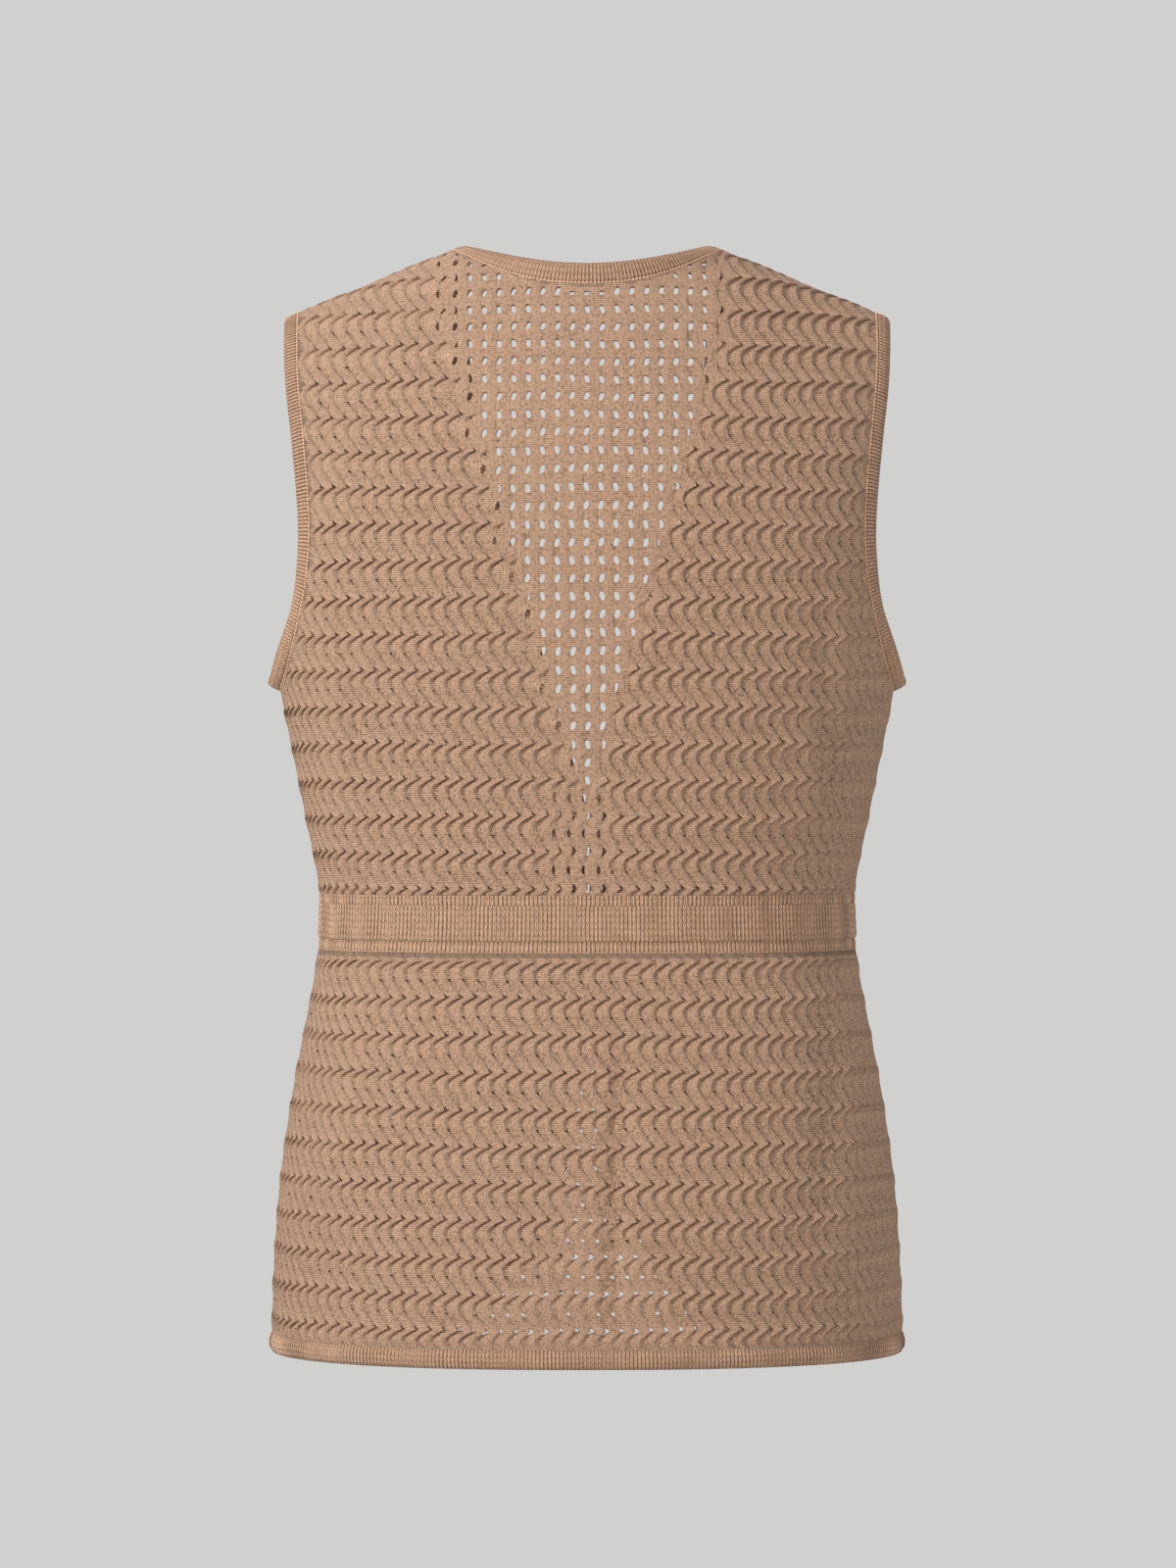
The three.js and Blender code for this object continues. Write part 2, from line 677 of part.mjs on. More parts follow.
// a free end of the tie, which hangs from the knot on the front of the skirt
function tieEnd({ name, root, end, low }) {
  const outer = [];
  const inner = [];
  const high = TIE.knotBottom - SEAM_GAP;
  for (let row = 0; row <= TIE_ROWS; row += 1) {
    const t = row / TIE_ROWS;
    const height = high + (low - high) * t;
    const middle = root + (end - root) * Math.sin(t * Math.PI / 2);
    const spread = THREE.MathUtils.smoothstep(t, 0, TIE.spreadShare);
    const half = THREE.MathUtils.lerp(TIE.rootWidth, TIE.endWidth, spread) / 2;
    const skirt = columnAt(FIGURE, 'front', height) + RIB_PROUD + TIE.clearance;
    const line = [-half, 0, half].map((x) => new THREE.Vector3(middle + x, -skirt, height));
    inner.push(line);
    outer.push(line.map((p) => p.clone().add(new THREE.Vector3(0, -TIE.wall, 0))));
  }
  addPiece(name, wallGeometry(outer, inner), RIB_COLOR);
}

tieKnot();
TIE_ENDS.forEach(tieEnd);

export default vest;
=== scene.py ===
"""Looks of the tie-front knit vest: openwork knit panels, rib bands and the tie.

Body sizes are in millimetres, as the cutter gives them, and meshes are written in metres.
The front faces -Y, the wearer's left is +X, and the vest hangs below the origin.
"""
import math
import bpy
import numpy as np
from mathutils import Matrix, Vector


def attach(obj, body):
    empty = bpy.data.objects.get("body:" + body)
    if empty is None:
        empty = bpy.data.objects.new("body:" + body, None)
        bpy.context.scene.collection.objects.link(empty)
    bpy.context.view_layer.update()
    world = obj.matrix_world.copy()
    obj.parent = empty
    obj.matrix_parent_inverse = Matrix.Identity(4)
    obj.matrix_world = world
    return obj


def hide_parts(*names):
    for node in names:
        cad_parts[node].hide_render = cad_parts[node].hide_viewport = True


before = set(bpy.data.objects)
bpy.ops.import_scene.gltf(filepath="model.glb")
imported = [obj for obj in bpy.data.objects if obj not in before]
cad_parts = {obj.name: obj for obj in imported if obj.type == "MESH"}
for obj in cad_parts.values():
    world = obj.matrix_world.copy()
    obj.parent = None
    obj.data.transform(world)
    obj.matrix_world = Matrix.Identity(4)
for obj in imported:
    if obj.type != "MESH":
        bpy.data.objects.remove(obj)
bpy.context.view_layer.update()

# ------------------------------------------------------------------ sizes
HALF_GAP = 0.02
AT_SIDE_SEAM = 0.05
UNDERARM = -245.0
WAIST_TOP = -356.0
WAIST_BOTTOM = -387.0
HEM_TOP = -597.0
HEM_BOTTOM = -608.0
SEAM_GAP = 0.3
BAND_WIDTH = 8.5
RIB_PROUD = 0.25
SHOULDER_SLOPE = 0.4
SHOULDER_END = 159.5
NECK_CORNER = 75.0
NECK_CORNER_DROP = 2.0
ROUNDING_START = -170.0
NECK_SEAM = {"half": NECK_CORNER, "depth": 67.0}
NECK_EDGE = {"half": 67.0, "depth": 64.0, "drop": 14.4}
NECK_POWER = 2.2
FRONT_EDGE_MEETING = 1.2
V_POINT = -307.0
V_SLOPE = 0.285
V_HALF_WIDTH = 68.0
V_BEND_POWER = 12
CUTAWAY = 66.0
CUTAWAY_POWER = 3
SECTION_POWER = 2.35
TOP_POWER = {"back": 3.0, "front": 1.45, "arm": 1.9}
FACING = {"back": 1.0, "front": -1.0}

# height, half width at the side, depth to the back, depth to the front
FIGURE = np.array([
    (-608, 174.0, 109, 106),
    (-561, 172.5, 110, 105),
    (-513, 169.0, 108, 103),
    (-464, 162.0, 102, 99),
    (-432, 156.0, 96, 95),
    (-400, 150.0, 90, 91),
    (-371, 147.0, 86, 89),
    (-345, 149.0, 87, 91),
    (-318, 154.5, 90, 95),
    (-285, 161.0, 94, 101),
    (-245, 169.0, 98, 107),
    (-200, 176.0, 100, 109),
    (-160, 181.0, 100, 109),
    (-110, 186.0, 96, 103),
    (-60, 189.0, 89, 91),
    (0, 190.0, 80, 74),
], float)
SIDE, BACK, FRONT = 1, 2, 3
DEPTH_COLUMN = {"back": BACK, "front": FRONT}

# height, half width of the armhole seam
ARMHOLE = np.array([
    (-245, 169.0),
    (-240, 166.5),
    (-230, 163.0),
    (-220, 160.0),
    (-204, 156.0),
    (-188, 152.6),
    (-163, 150.4),
    (-139, 151.2),
    (-107, 154.2),
    (-72, 158.0),
    (-36, 159.5),
], float)

# the openwork repeat
COLUMN = 7.95
PERIOD = 19.54
FIRST_ROW = -79.0
ACROSS = 5
DOWN = 10
CLOTH = 1.7
COLUMNS_A_SIDE = 34
SAME_POINT = 0.03
PLAIN_SIDE = 5.5
PLAIN_END = 2.6
TAIL_TOP = -296.0
TAIL_HALF = 14.0
TAIL_RELIEF = 0.45
DOTS_TOP = -505.0
DOTS_SPREAD = 0.68
DOTS_RELIEF = 0.7
NOWHERE = -60.0

# rows that keep their spacing over the shoulder
TURN_HEIGHT = 12.0
TURN_REACH = 26.0
NEAR_EDGE = 0.7

# half the distance over which a slope is measured
STEP = 0.5
MIRRORED = np.array([-1, 1, 1])

MM = 0.001


def smoothstep(x, low, high):
    t = np.clip((x - low) / (high - low), 0, 1)
    return t * t * (3 - 2 * t)


def column_at(table, column, height):
    """One column of a table on a smooth curve through its rows."""
    heights = table[:, 0]
    values = table[:, column]
    z = np.clip(height, heights[0], heights[-1])
    k = np.clip(np.searchsorted(heights, z, side="right") - 1, 0, len(heights) - 2)
    last = len(heights) - 1
    before = np.maximum(np.arange(last + 1) - 1, 0)
    after = np.minimum(np.arange(last + 1) + 1, last)
    slopes = (values[after] - values[before]) / (heights[after] - heights[before])
    span = heights[k + 1] - heights[k]
    t = (z - heights[k]) / span
    rise = t * t * (3 - 2 * t)
    bend = t * (1 - t) * (1 - t) * slopes[k] - t * t * (1 - t) * slopes[k + 1]
    return values[k] * (1 - rise) + values[k + 1] * rise + span * bend


def ridge_at(x):
    wide = np.abs(x)
    slope = -NECK_CORNER_DROP - SHOULDER_SLOPE * (wide - NECK_CORNER)
    level = SHOULDER_SLOPE * (NECK_CORNER ** 2 - wide ** 2) / (2 * NECK_CORNER) - NECK_CORNER_DROP
    return np.where(wide >= NECK_CORNER, slope, level)


SHOULDER_TIP = float(ridge_at(SHOULDER_END))


def half_width_at(height):
    body = column_at(FIGURE, SIDE, height)
    hole = column_at(ARMHOLE, 1, np.minimum(height, SHOULDER_TIP))
    return np.where(height <= UNDERARM, body, hole)


def top_power(face, x):
    """How squarely a face turns over the shoulder: the power of its rounding."""
    mix = smoothstep(np.abs(x), 0, SHOULDER_END)
    return TOP_POWER[face] * (1 - mix) + TOP_POWER["arm"] * mix


def body_depth(face, x, height):
    share = np.clip(np.abs(x) / column_at(FIGURE, SIDE, height), 0, 1)
    full = column_at(FIGURE, DEPTH_COLUMN[face], height)
    full = full * (1 - share ** SECTION_POWER) ** (1 / SECTION_POWER)
    climb = np.clip((height - ROUNDING_START) / (ridge_at(x) - ROUNDING_START), 0, 1)
    power = top_power(face, x)
    return full * (1 - climb ** power) ** (1 / power)


def height_of_depth(face, x, depth):
    low = np.full_like(x, ROUNDING_START)
    high = ridge_at(x)
    for _ in range(30):
        middle = (low + high) / 2
        deeper = body_depth(face, x, middle) > depth
        low = np.where(deeper, middle, low)
        high = np.where(deeper, high, middle)
    return (low + high) / 2


def neck_depth(line, x):
    share = np.clip(np.abs(x) / line["half"], 0, 1)
    return line["depth"] * (1 - share ** NECK_POWER) ** (1 / NECK_POWER)


def front_edge_at(height):
    drop = np.clip((WAIST_BOTTOM - height) / (WAIST_BOTTOM - HEM_BOTTOM), 0, 1)
    below = FRONT_EDGE_MEETING + CUTAWAY * drop ** CUTAWAY_POWER
    line = np.maximum(V_SLOPE * (height - V_POINT), 0) + FRONT_EDGE_MEETING
    above = (line ** -V_BEND_POWER + V_HALF_WIDTH ** -V_BEND_POWER) ** (-1 / V_BEND_POWER)
    return np.where(height <= WAIST_BOTTOM, below, above)


def front_seam_at(height):
    lean = (front_edge_at(height + STEP) - front_edge_at(height - STEP)) / (2 * STEP)
    seam = front_edge_at(height) + BAND_WIDTH * np.hypot(1, lean)
    near = smoothstep(height, -60, -NECK_CORNER_DROP)
    return seam * (1 - near) + NECK_CORNER * near


# lengths round the body: x of each share of the way from the middle to the side
SHARES = np.linspace(0, 1, 129)
LEVELS = np.linspace(HEM_BOTTOM - 4, 8, 311)


def measure_round(face):
    side = column_at(FIGURE, SIDE, LEVELS)[:, None]
    deep = column_at(FIGURE, DEPTH_COLUMN[face], LEVELS)[:, None]
    angle = np.linspace(0, math.pi / 2, 400)[None, :]
    x = side * np.sin(angle) ** (2 / SECTION_POWER)
    y = deep * np.clip(np.cos(angle), 0, 1) ** (2 / SECTION_POWER)
    steps = np.hypot(np.diff(x, axis=1), np.diff(y, axis=1))
    along = np.concatenate([np.zeros((len(LEVELS), 1)), np.cumsum(steps, axis=1)], axis=1)
    table = np.array([np.interp(SHARES * a[-1], a, row) for a, row in zip(along, x)])
    return table, along[:, -1]


ROUND = {face: measure_round(face) for face in ("back", "front")}


def side_length(face, height):
    return np.interp(height, LEVELS, ROUND[face][1])


def x_of(face, s, height):
    """x of the point that lies s round the body from the middle, at a height."""
    table, _ = ROUND[face]
    share = np.clip(np.abs(s) / side_length(face, height), 0, 1) * (len(SHARES) - 1)
    level = np.clip((height - LEVELS[0]) / (LEVELS[1] - LEVELS[0]), 0, len(LEVELS) - 1.001)
    i = np.minimum(share.astype(int), len(SHARES) - 2)
    j = level.astype(int)
    a = share - i
    b = level - j
    low = table[j, i] * (1 - a) + table[j, i + 1] * a
    high = table[j + 1, i] * (1 - a) + table[j + 1, i + 1] * a
    curved = low * (1 - b) + high * b
    settle = smoothstep(height, -150, SHOULDER_TIP)
    return np.sign(s) * (curved * (1 - settle) + np.abs(s) * settle)


def s_of(face, x, height):
    """The way back: lengths round the body for half widths x at heights."""
    low = np.zeros_like(x)
    high = side_length(face, height)
    for _ in range(40):
        middle = (low + high) / 2
        inside = x_of(face, middle, height) < x
        low = np.where(inside, middle, low)
        high = np.where(inside, high, middle)
    return (low + high) / 2


def surface(face, s, height):
    x = x_of(face, s, height)
    at_seam = np.abs(s) > side_length(face, height) - AT_SIDE_SEAM
    depth = np.where(at_seam, 0, body_depth(face, x, height))
    y = FACING[face] * (depth + HALF_GAP)
    return np.stack([x, y, height + 0 * x], axis=-1)


def surface_normal(face, s, height):
    ds = 1.5
    dz = 1.5
    limit = side_length(face, height)
    right = surface(face, np.clip(s + ds, -limit, limit), height)
    left = surface(face, np.clip(s - ds, -limit, limit), height)
    up = surface(face, s, height + dz)
    down = surface(face, s, height - dz)
    normal = np.cross(right - left, up - down) * -FACING[face]
    length = np.linalg.norm(normal, axis=-1, keepdims=True)
    return normal / np.maximum(length, 1e-9)


# ------------------------------------------------------------------ meshes
def add_object(name, data):
    made = bpy.data.objects.new(name, data)
    bpy.context.scene.collection.objects.link(made)
    return made


def mesh_object(name, vertices, triangles, uv=None, values=None):
    mesh = bpy.data.meshes.new(name)
    count = len(triangles)
    mesh.vertices.add(len(vertices))
    mesh.vertices.foreach_set("co", (vertices * MM).astype(np.float32).ravel())
    mesh.loops.add(3 * count)
    mesh.loops.foreach_set("vertex_index", triangles.astype(np.int32).ravel())
    mesh.polygons.add(count)
    mesh.polygons.foreach_set("loop_start", np.arange(0, 3 * count, 3, dtype=np.int32))
    mesh.polygons.foreach_set("loop_total", np.full(count, 3, np.int32))
    mesh.update(calc_edges=True)
    mesh.validate()
    if uv is not None:
        layer = mesh.uv_layers.new(name="knit")
        layer.data.foreach_set("uv", uv[triangles.ravel()].astype(np.float32).ravel())
    for key, value in (values or {}).items():
        attribute = mesh.attributes.new(key, "FLOAT", "POINT")
        attribute.data.foreach_set("value", value.astype(np.float32))
    mesh.polygons.foreach_set("use_smooth", np.ones(count, bool))
    mesh.set_sharp_from_angle(angle=math.radians(62))
    piece = add_object(name, mesh)
    return piece


def closed_shell(outer, inner, triangles):
    """Both faces of a cloth and the walls along its edges and round its holes."""
    count = len(outer)
    edges = np.concatenate([triangles[:, [0, 1]], triangles[:, [1, 2]], triangles[:, [2, 0]]])
    key = np.minimum(edges[:, 0], edges[:, 1]) * count + np.maximum(edges[:, 0], edges[:, 1])
    _, index, times = np.unique(key, return_index=True, return_counts=True)
    open_edges = edges[index[times == 1]]
    a, b = open_edges[:, 0], open_edges[:, 1]
    walls = np.concatenate([
        np.stack([b, a, a + count], axis=1),
        np.stack([b, a + count, b + count], axis=1),
    ])
    faces = np.concatenate([triangles, triangles[:, ::-1] + count, walls])
    return np.concatenate([outer, inner]), faces


# ------------------------------------------------------------------ openwork knit
# how far the grooves between the wales swing, in columns, down one repeat
SWING_DOWN = np.array([0.0, 0.06, 0.12, 0.18, 0.25, 0.35, 0.48, 0.62, 0.76, 0.9, 1.0])
SWING = np.array([0.5, 0.2, -0.12, -0.36, -0.5, -0.56, -0.48, -0.24, 0.05, 0.34, 0.5])
# how strongly the lobes stand out down one repeat
LOBE_DOWN = np.array([0.0, 0.1, 0.25, 0.38, 0.5, 0.62, 0.75, 0.9, 1.0])
LOBE = np.array([0.7, 1.1, 1.1, 0.55, 0.32, 0.4, 0.3, 0.3, 0.7])
LOBE_HEIGHT = 1.2
# places of the lattice lines in a column: at the flat V, and between the lobes
FLAT_LINES = np.array([-0.18, 0.18, 0.4, 0.6, 0.81])
LOBE_LINES = np.array([-0.07, 0.07, 0.34, 0.62, 0.86])
# height of the lobe's section at those lines, from its low side to its crisp edge
FLAT_SECTION = np.array([0.0, 0.0, 0.15, 0.2, 0.15])
LOBE_SECTION = np.array([0.78, -0.45, 0.0, 0.6, 1.0])

# creases: x, top and bottom height, half width, and depth out (+) or in (-)
CREASES = {
    "back": (
        (-15.0, -430.0, -592.0, 4.5, -1.7),
        (-26.0, -455.0, -590.0, 10.0, 0.6),
        (2.0, -470.0, -585.0, 12.0, 0.5),
        (140.0, -100.0, -345.0, 9.0, 1.0),
        (126.0, -190.0, -255.0, 8.0, 0.7),
        (132.0, -170.0, -300.0, 7.0, -0.7),
        (-134.0, -195.0, -265.0, 9.0, 1.0),
        (-122.0, -250.0, -320.0, 9.0, 0.9),
        (-130.0, -200.0, -310.0, 7.0, -0.7),
        (136.0, -410.0, -485.0, 9.0, 0.9),
        (-140.0, -405.0, -555.0, 9.0, 0.9),
        (-129.0, -420.0, -540.0, 8.0, -0.5),
    ),
    "front": (
        (118.0, -150.0, -330.0, 9.0, 1.0),
        (107.0, -170.0, -300.0, 8.0, -0.8),
        (-121.0, -130.0, -310.0, 9.0, 1.1),
        (-110.0, -180.0, -320.0, 8.0, -0.7),
        (96.0, -410.0, -560.0, 9.0, -0.9),
        (-84.0, -420.0, -590.0, 9.0, -1.0),
        (128.0, -405.0, -540.0, 8.0, 0.9),
        (-126.0, -405.0, -500.0, 8.0, 0.9),
    ),
}


def crease_height(face, x, z):
    total = np.zeros_like(x)
    for middle, top, bottom, half, depth in CREASES[face]:
        wander = 2.2 * np.sin(z / 37.0 + middle)
        across = np.exp(-((x - middle - wander) / half) ** 2)
        along = smoothstep(z, bottom - 14, bottom + 26) * (1 - smoothstep(z, top - 26, top + 14))
        total += depth * across * along
    return total


def side_limits(face, sign, z):
    """Lengths round the body at which a panel starts and ends."""
    side = np.where(z <= UNDERARM, side_length(face, z), s_of(face, half_width_at(z), z))
    if sign == 0:
        return -side, side
    inner = s_of(face, front_seam_at(z), z)
    return (inner, side) if sign > 0 else (-side, -inner)


def panel_top(face, high, x):
    """Height of a panel's upper edge: a level seam, the shoulder seam or the back neck."""
    if high < SHOULDER_TIP:
        return np.full_like(x, high)
    shoulder = ridge_at(x)
    if face == "back":
        neck = height_of_depth("back", x, neck_depth(NECK_SEAM, x))
        shoulder = np.where(np.abs(x) >= NECK_CORNER, shoulder, neck - HALF_GAP)
    return shoulder


def flat_half_width(face, z):
    """Half width of the flat, open V of the back; negative where there is none."""
    v = np.clip(V_SLOPE * (z - V_POINT), 0, V_HALF_WIDTH + 4)
    v = np.where((z < TAIL_TOP) & (z > WAIST_TOP), TAIL_HALF, v)
    return np.where((z > WAIST_TOP - 1) & (face == "back"), v, NOWHERE)


def over_shoulder(face, x, level, top, turns):
    """Heights of rows that keep their spacing over the shoulder, the length left and the squeeze."""
    power = top_power(face, x) if turns else np.ones_like(x)
    beside = smoothstep(np.abs(x), 40, NECK_CORNER)
    power = 1 + (power - 1) * (beside if face == "back" else 1)
    reach = TURN_HEIGHT * power
    start = top - TURN_HEIGHT
    left = np.clip(1 - (level - start) / reach, 0, 1)
    left = np.where(left * reach < NEAR_EDGE, 0, left)
    turned = level > start
    height = np.where(turned, top - TURN_HEIGHT * left ** power, level)
    length = np.where(turned, reach * left, reach + start - level)
    squeeze = np.where(turned, left ** (power - 1), 1)
    return height, length, squeeze


def dots_half_width(face, z):
    """Half width of the part of the lower back where the holes stay open; negative elsewhere."""
    wide = 2.0 + (DOTS_TOP - z) * DOTS_SPREAD
    return np.where((z < DOTS_TOP) & (face == "back"), wide, NOWHERE)


def knit_panel(name, face, sign, low, high, seed):
    """One panel from its lattice: columns of wales that swing to and fro, rows of holes."""
    rng = np.random.default_rng(seed)
    hand = -FACING[face]
    turns = high > SHOULDER_TIP
    first = int(math.floor((FIRST_ROW - high - (TURN_REACH if turns else 0)) / PERIOD)) - 1
    last = int(math.ceil((FIRST_ROW - low) / PERIOD)) + 1
    j = np.arange(first * DOWN, last * DOWN + 1)
    before = 1 if sign > 0 else COLUMNS_A_SIDE
    after = 1 if sign < 0 else COLUMNS_A_SIDE
    i = np.arange(-before * ACROSS, after * ACROSS + 1)
    I, J = np.meshgrid(i, j)
    wale = np.floor_divide(I, ACROSS)
    line = np.mod(I, ACROSS)
    row = np.mod(J, DOWN)
    down = row / DOWN
    s0 = hand * wale * COLUMN
    level = FIRST_ROW - J * (PERIOD / DOWN)

    # the outline at the plain lattice; rows and columns past it follow it
    low_s, high_s = side_limits(face, sign, np.clip(level, low, min(high, SHOULDER_TIP)))
    s_plain = np.clip(s0, low_s, high_s)
    x_plain = x_of(face, s_plain, np.clip(level, low, high))
    top = panel_top(face, high, x_plain)
    z_plain, left, squeeze = over_shoulder(face, x_plain, level, top, turns)
    z_plain = np.maximum(z_plain, low)
    calm = smoothstep(np.minimum(level - low, left), 0.5, 8) * squeeze
    end_room = np.minimum(level - low, left)
    side_room = np.minimum(s0 - low_s, high_s - s0)

    flat_half = flat_half_width(face, z_plain)
    relief = smoothstep(np.abs(s0 + hand * COLUMN / 2), flat_half - 1, flat_half + COLUMN * 1.1)
    in_tail = (face == "back") & (z_plain < TAIL_TOP) & (z_plain > WAIST_TOP)
    relief = np.where(in_tail, np.maximum(relief, TAIL_RELIEF), relief)
    dotted = np.abs(s0) < dots_half_width(face, z_plain)
    relief = np.where(dotted, DOTS_RELIEF, relief)
    place = FLAT_LINES[line] * (1 - relief) + LOBE_LINES[line] * relief
    swing = np.interp(down, SWING_DOWN, SWING) * relief * smoothstep(end_room, 0.2, 3.5)
    wave = 0.35 * np.sin(z_plain / 31.0 + s0 / 47.0) + 0.25 * np.sin(s0 / 19.0 - z_plain / 53.0)
    s = s0 + hand * (place + swing) * COLUMN + wave * calm
    sag = 0.5 * np.sin(s_plain / 33.0 + J * 0.11) + 0.35 * np.sin(s_plain / 11.0 + J * 0.05)
    z = z_plain + sag * calm

    # each hole is two quads tall between lattice lines 0 and 1, pinched at both ends
    shaped = (line <= 1) & (side_room > PLAIN_SIDE) & (end_room > PLAIN_END)
    leans = {0: -0.05, DOWN // 2: 0.07}
    for start, lean in leans.items():
        above = shaped & (row == (start - 1) % DOWN)
        below = shaped & (row == (start + 1) % DOWN)
        pinch = np.where(line == 0, 1, -1) * COLUMN * np.where(relief > 0.5, 0.03, 0.07)
        slant = lean * COLUMN * (1 - 0.5 * relief)
        s = np.where(above, s + hand * (pinch + slant), s)
        s = np.where(below, s + hand * (pinch - slant), s)
        taller = np.where(relief > 0.5, -0.35, 0.3) * squeeze
        z = np.where(above, z + taller, z)
        z = np.where(below, z - taller, z)
        middle = shaped & (row == start) & (relief > 0.5)
        s = np.where(middle, s + hand * np.where(line == 0, -1, 1) * COLUMN * 0.045, s)

    # trimming: what lies outside the panel's outline is drawn in to it
    low_s, high_s = side_limits(face, sign, z)
    s_cut = np.clip(s, low_s, high_s)
    x_cut = x_of(face, s_cut, z)
    top = panel_top(face, high, x_cut)
    z_turned, left, squeeze = over_shoulder(face, x_cut, level, top, turns)
    z_moved = np.maximum(z_turned, low) + z - z_plain
    z_cut = np.where(left > 0, np.minimum(z_moved, top), top)
    side_room = np.clip(np.minimum(s - low_s, high_s - s), 0, 100)

    # relief along the cloth's normal
    fade = smoothstep(side_room, 1.0, 7.5) * smoothstep(end_room, 0.2, 2.2)
    near_edge = smoothstep(np.minimum(side_room, end_room), 0, 12)
    section = FLAT_SECTION[line] * (1 - relief) + LOBE_SECTION[line] * relief
    strong = np.interp(down, LOBE_DOWN, LOBE)
    at_side = 0.35 + 0.65 * smoothstep(side_length(face, z_cut) - np.abs(s_cut), 0, 50)
    at_side = at_side * (0.1 + 0.9 * np.sqrt(squeeze))
    lobes = LOBE_HEIGHT * section * (strong * relief + 0.4 * (1 - relief)) * at_side
    dome = 0.3 * np.sin(2 * math.pi * (down + 0.1)) * relief * at_side
    height = (lobes + dome) * fade + crease_height(face, x_cut, z_cut) * near_edge
    height = height + rng.normal(0, 0.05, height.shape) * fade
    point = surface(face, s_cut, z_cut)
    normal = surface_normal(face, s_cut, z_cut)
    outer = point + normal * height[..., None]
    inside = point + normal * (np.minimum(height, 0.4) * 0.6 - CLOTH)[..., None]
    for layer in (outer, inside):
        layer[..., 1] = FACING[face] * np.maximum(FACING[face] * layer[..., 1], HALF_GAP)

    # quads but for the holes
    rows, columns = I.shape
    index = np.arange(rows * columns).reshape(rows, columns)
    quads = np.stack([index[:-1, :-1], index[:-1, 1:], index[1:, 1:], index[1:, :-1]], axis=-1)
    hole_line = line[:-1, :-1] == 0
    r = row[:-1, :-1]
    keep_hole = ((side_room > PLAIN_SIDE) & (end_room > PLAIN_END))[:-1, :-1]
    flat_here = relief[:-1, :-1] < 0.5
    lower_skirt = level[:-1, :-1] < WAIST_BOTTOM
    chance = rng.random(r.shape)
    slash = (r == DOWN - 1) | (r == 0)
    half_way = DOWN // 2
    back_slash = (r == half_way - 1) | (r == half_way)
    side_slash = (r == DOWN - 1) | ((r == 0) & (chance > 0.45) & (~lower_skirt | dotted[:-1, :-1]))
    side_back = (r == half_way) & (chance > 0.35)
    open_flat = flat_here & (slash | back_slash)
    open_side = ~flat_here & (side_slash | side_back)
    holes = hole_line & keep_hole & (open_flat | open_side)
    quads = quads[~holes]
    triangles = np.concatenate([quads[:, [0, 1, 2]], quads[:, [0, 2, 3]]])

    # points drawn in to the same place become one
    _, keep, to = np.unique(np.round(point.reshape(-1, 3) / SAME_POINT).astype(np.int64), axis=0,
                            return_index=True, return_inverse=True)
    to = to.ravel()
    triangles = to[triangles]
    a, b, c = triangles.T
    triangles = triangles[(a != b) & (b != c) & (c != a)]
    outer = outer.reshape(-1, 3)[keep]
    inside = inside.reshape(-1, 3)[keep]
    used = np.unique(triangles)
    renumber = np.full(len(keep), -1)
    renumber[used] = np.arange(len(used))
    triangles = renumber[triangles]
    outer = outer[used]
    inside = inside[used]
    vertices, faces = closed_shell(outer, inside, triangles[:, ::-1])
    uv = np.stack([I.ravel() * STITCHES_ACROSS / ACROSS, -J.ravel() * STITCHES_DOWN / DOWN], axis=1)
    uv = np.tile(uv[keep][used], (2, 1))
    depth = height.ravel()[keep][used]
    # painted shade: the colour darkens with the cloth's height, into the hollows and creases, and the inner
    # face is painted darker still
    groove_shade = np.concatenate([depth, np.full(len(depth), -0.3)])
    flatness = np.tile((1 - relief).ravel()[keep][used], 2)
    return mesh_object(name, vertices, faces, uv, {"relief": groove_shade, "flatness": flatness})


# ------------------------------------------------------------------ rib
RIB_PITCH = 2.1
RIB_SAMPLES = 4


def along_line(points):
    steps = np.linalg.norm(np.diff(points, axis=0), axis=1)
    return np.concatenate([[0], np.cumsum(steps)])


def resampled(lines, count, looped=False):
    """Lines of points, moved to even steps along the first of them."""
    if looped:
        lines = [np.concatenate([line, line[:1]]) for line in lines]
    length = along_line(lines[0])
    wanted = np.linspace(0, length[-1], count + 1 if looped else count)
    out = []
    for line in lines:
        moved = np.stack([np.interp(wanted, length, line[:, k]) for k in range(3)], axis=1)
        out.append(moved[:-1] if looped else moved)
    return out


def tube_object(name, grid, looped, uv_scale, relief):
    """A closed piece from sections: grid[length, round the section]."""
    count, around = grid.shape[:2]
    index = np.arange(count * around).reshape(count, around)
    nxt = np.roll(index, -1, axis=0) if looped else index[1:]
    cur = index if looped else index[:-1]
    a, b = cur, np.roll(cur, -1, axis=1)
    d, c = nxt, np.roll(nxt, -1, axis=1)
    quads = np.stack([a, b, c, d], axis=-1).reshape(-1, 4)
    triangles = [quads[:, [0, 1, 2]], quads[:, [0, 2, 3]]]
    if not looped:
        half = around // 2
        for ring, flip in ((index[0], True), (index[-1], False)):
            caps = []
            for k in range(half - 1):
                p, q = ring[k], ring[k + 1]
                r, t = ring[around - 2 - k], ring[around - 1 - k]
                caps += [(p, q, r), (p, r, t)]
            caps = np.array(caps)
            triangles.append(caps[:, ::-1] if flip else caps)
    triangles = np.concatenate(triangles)
    points = grid.reshape(-1, 3)
    p, q, r = points[triangles[:, 0]], points[triangles[:, 1]], points[triangles[:, 2]]
    if np.einsum("ij,ij->i", p, np.cross(q, r)).sum() < 0:
        triangles = triangles[:, ::-1]
    length = along_line(grid[:, 0])
    u = np.repeat(length / uv_scale, around)
    v = np.tile(np.arange(around), count) * 1.0
    return mesh_object(name, points, triangles, np.stack([u, v], axis=1),
                       {"relief": relief.ravel(), "flatness": np.zeros(relief.size)})


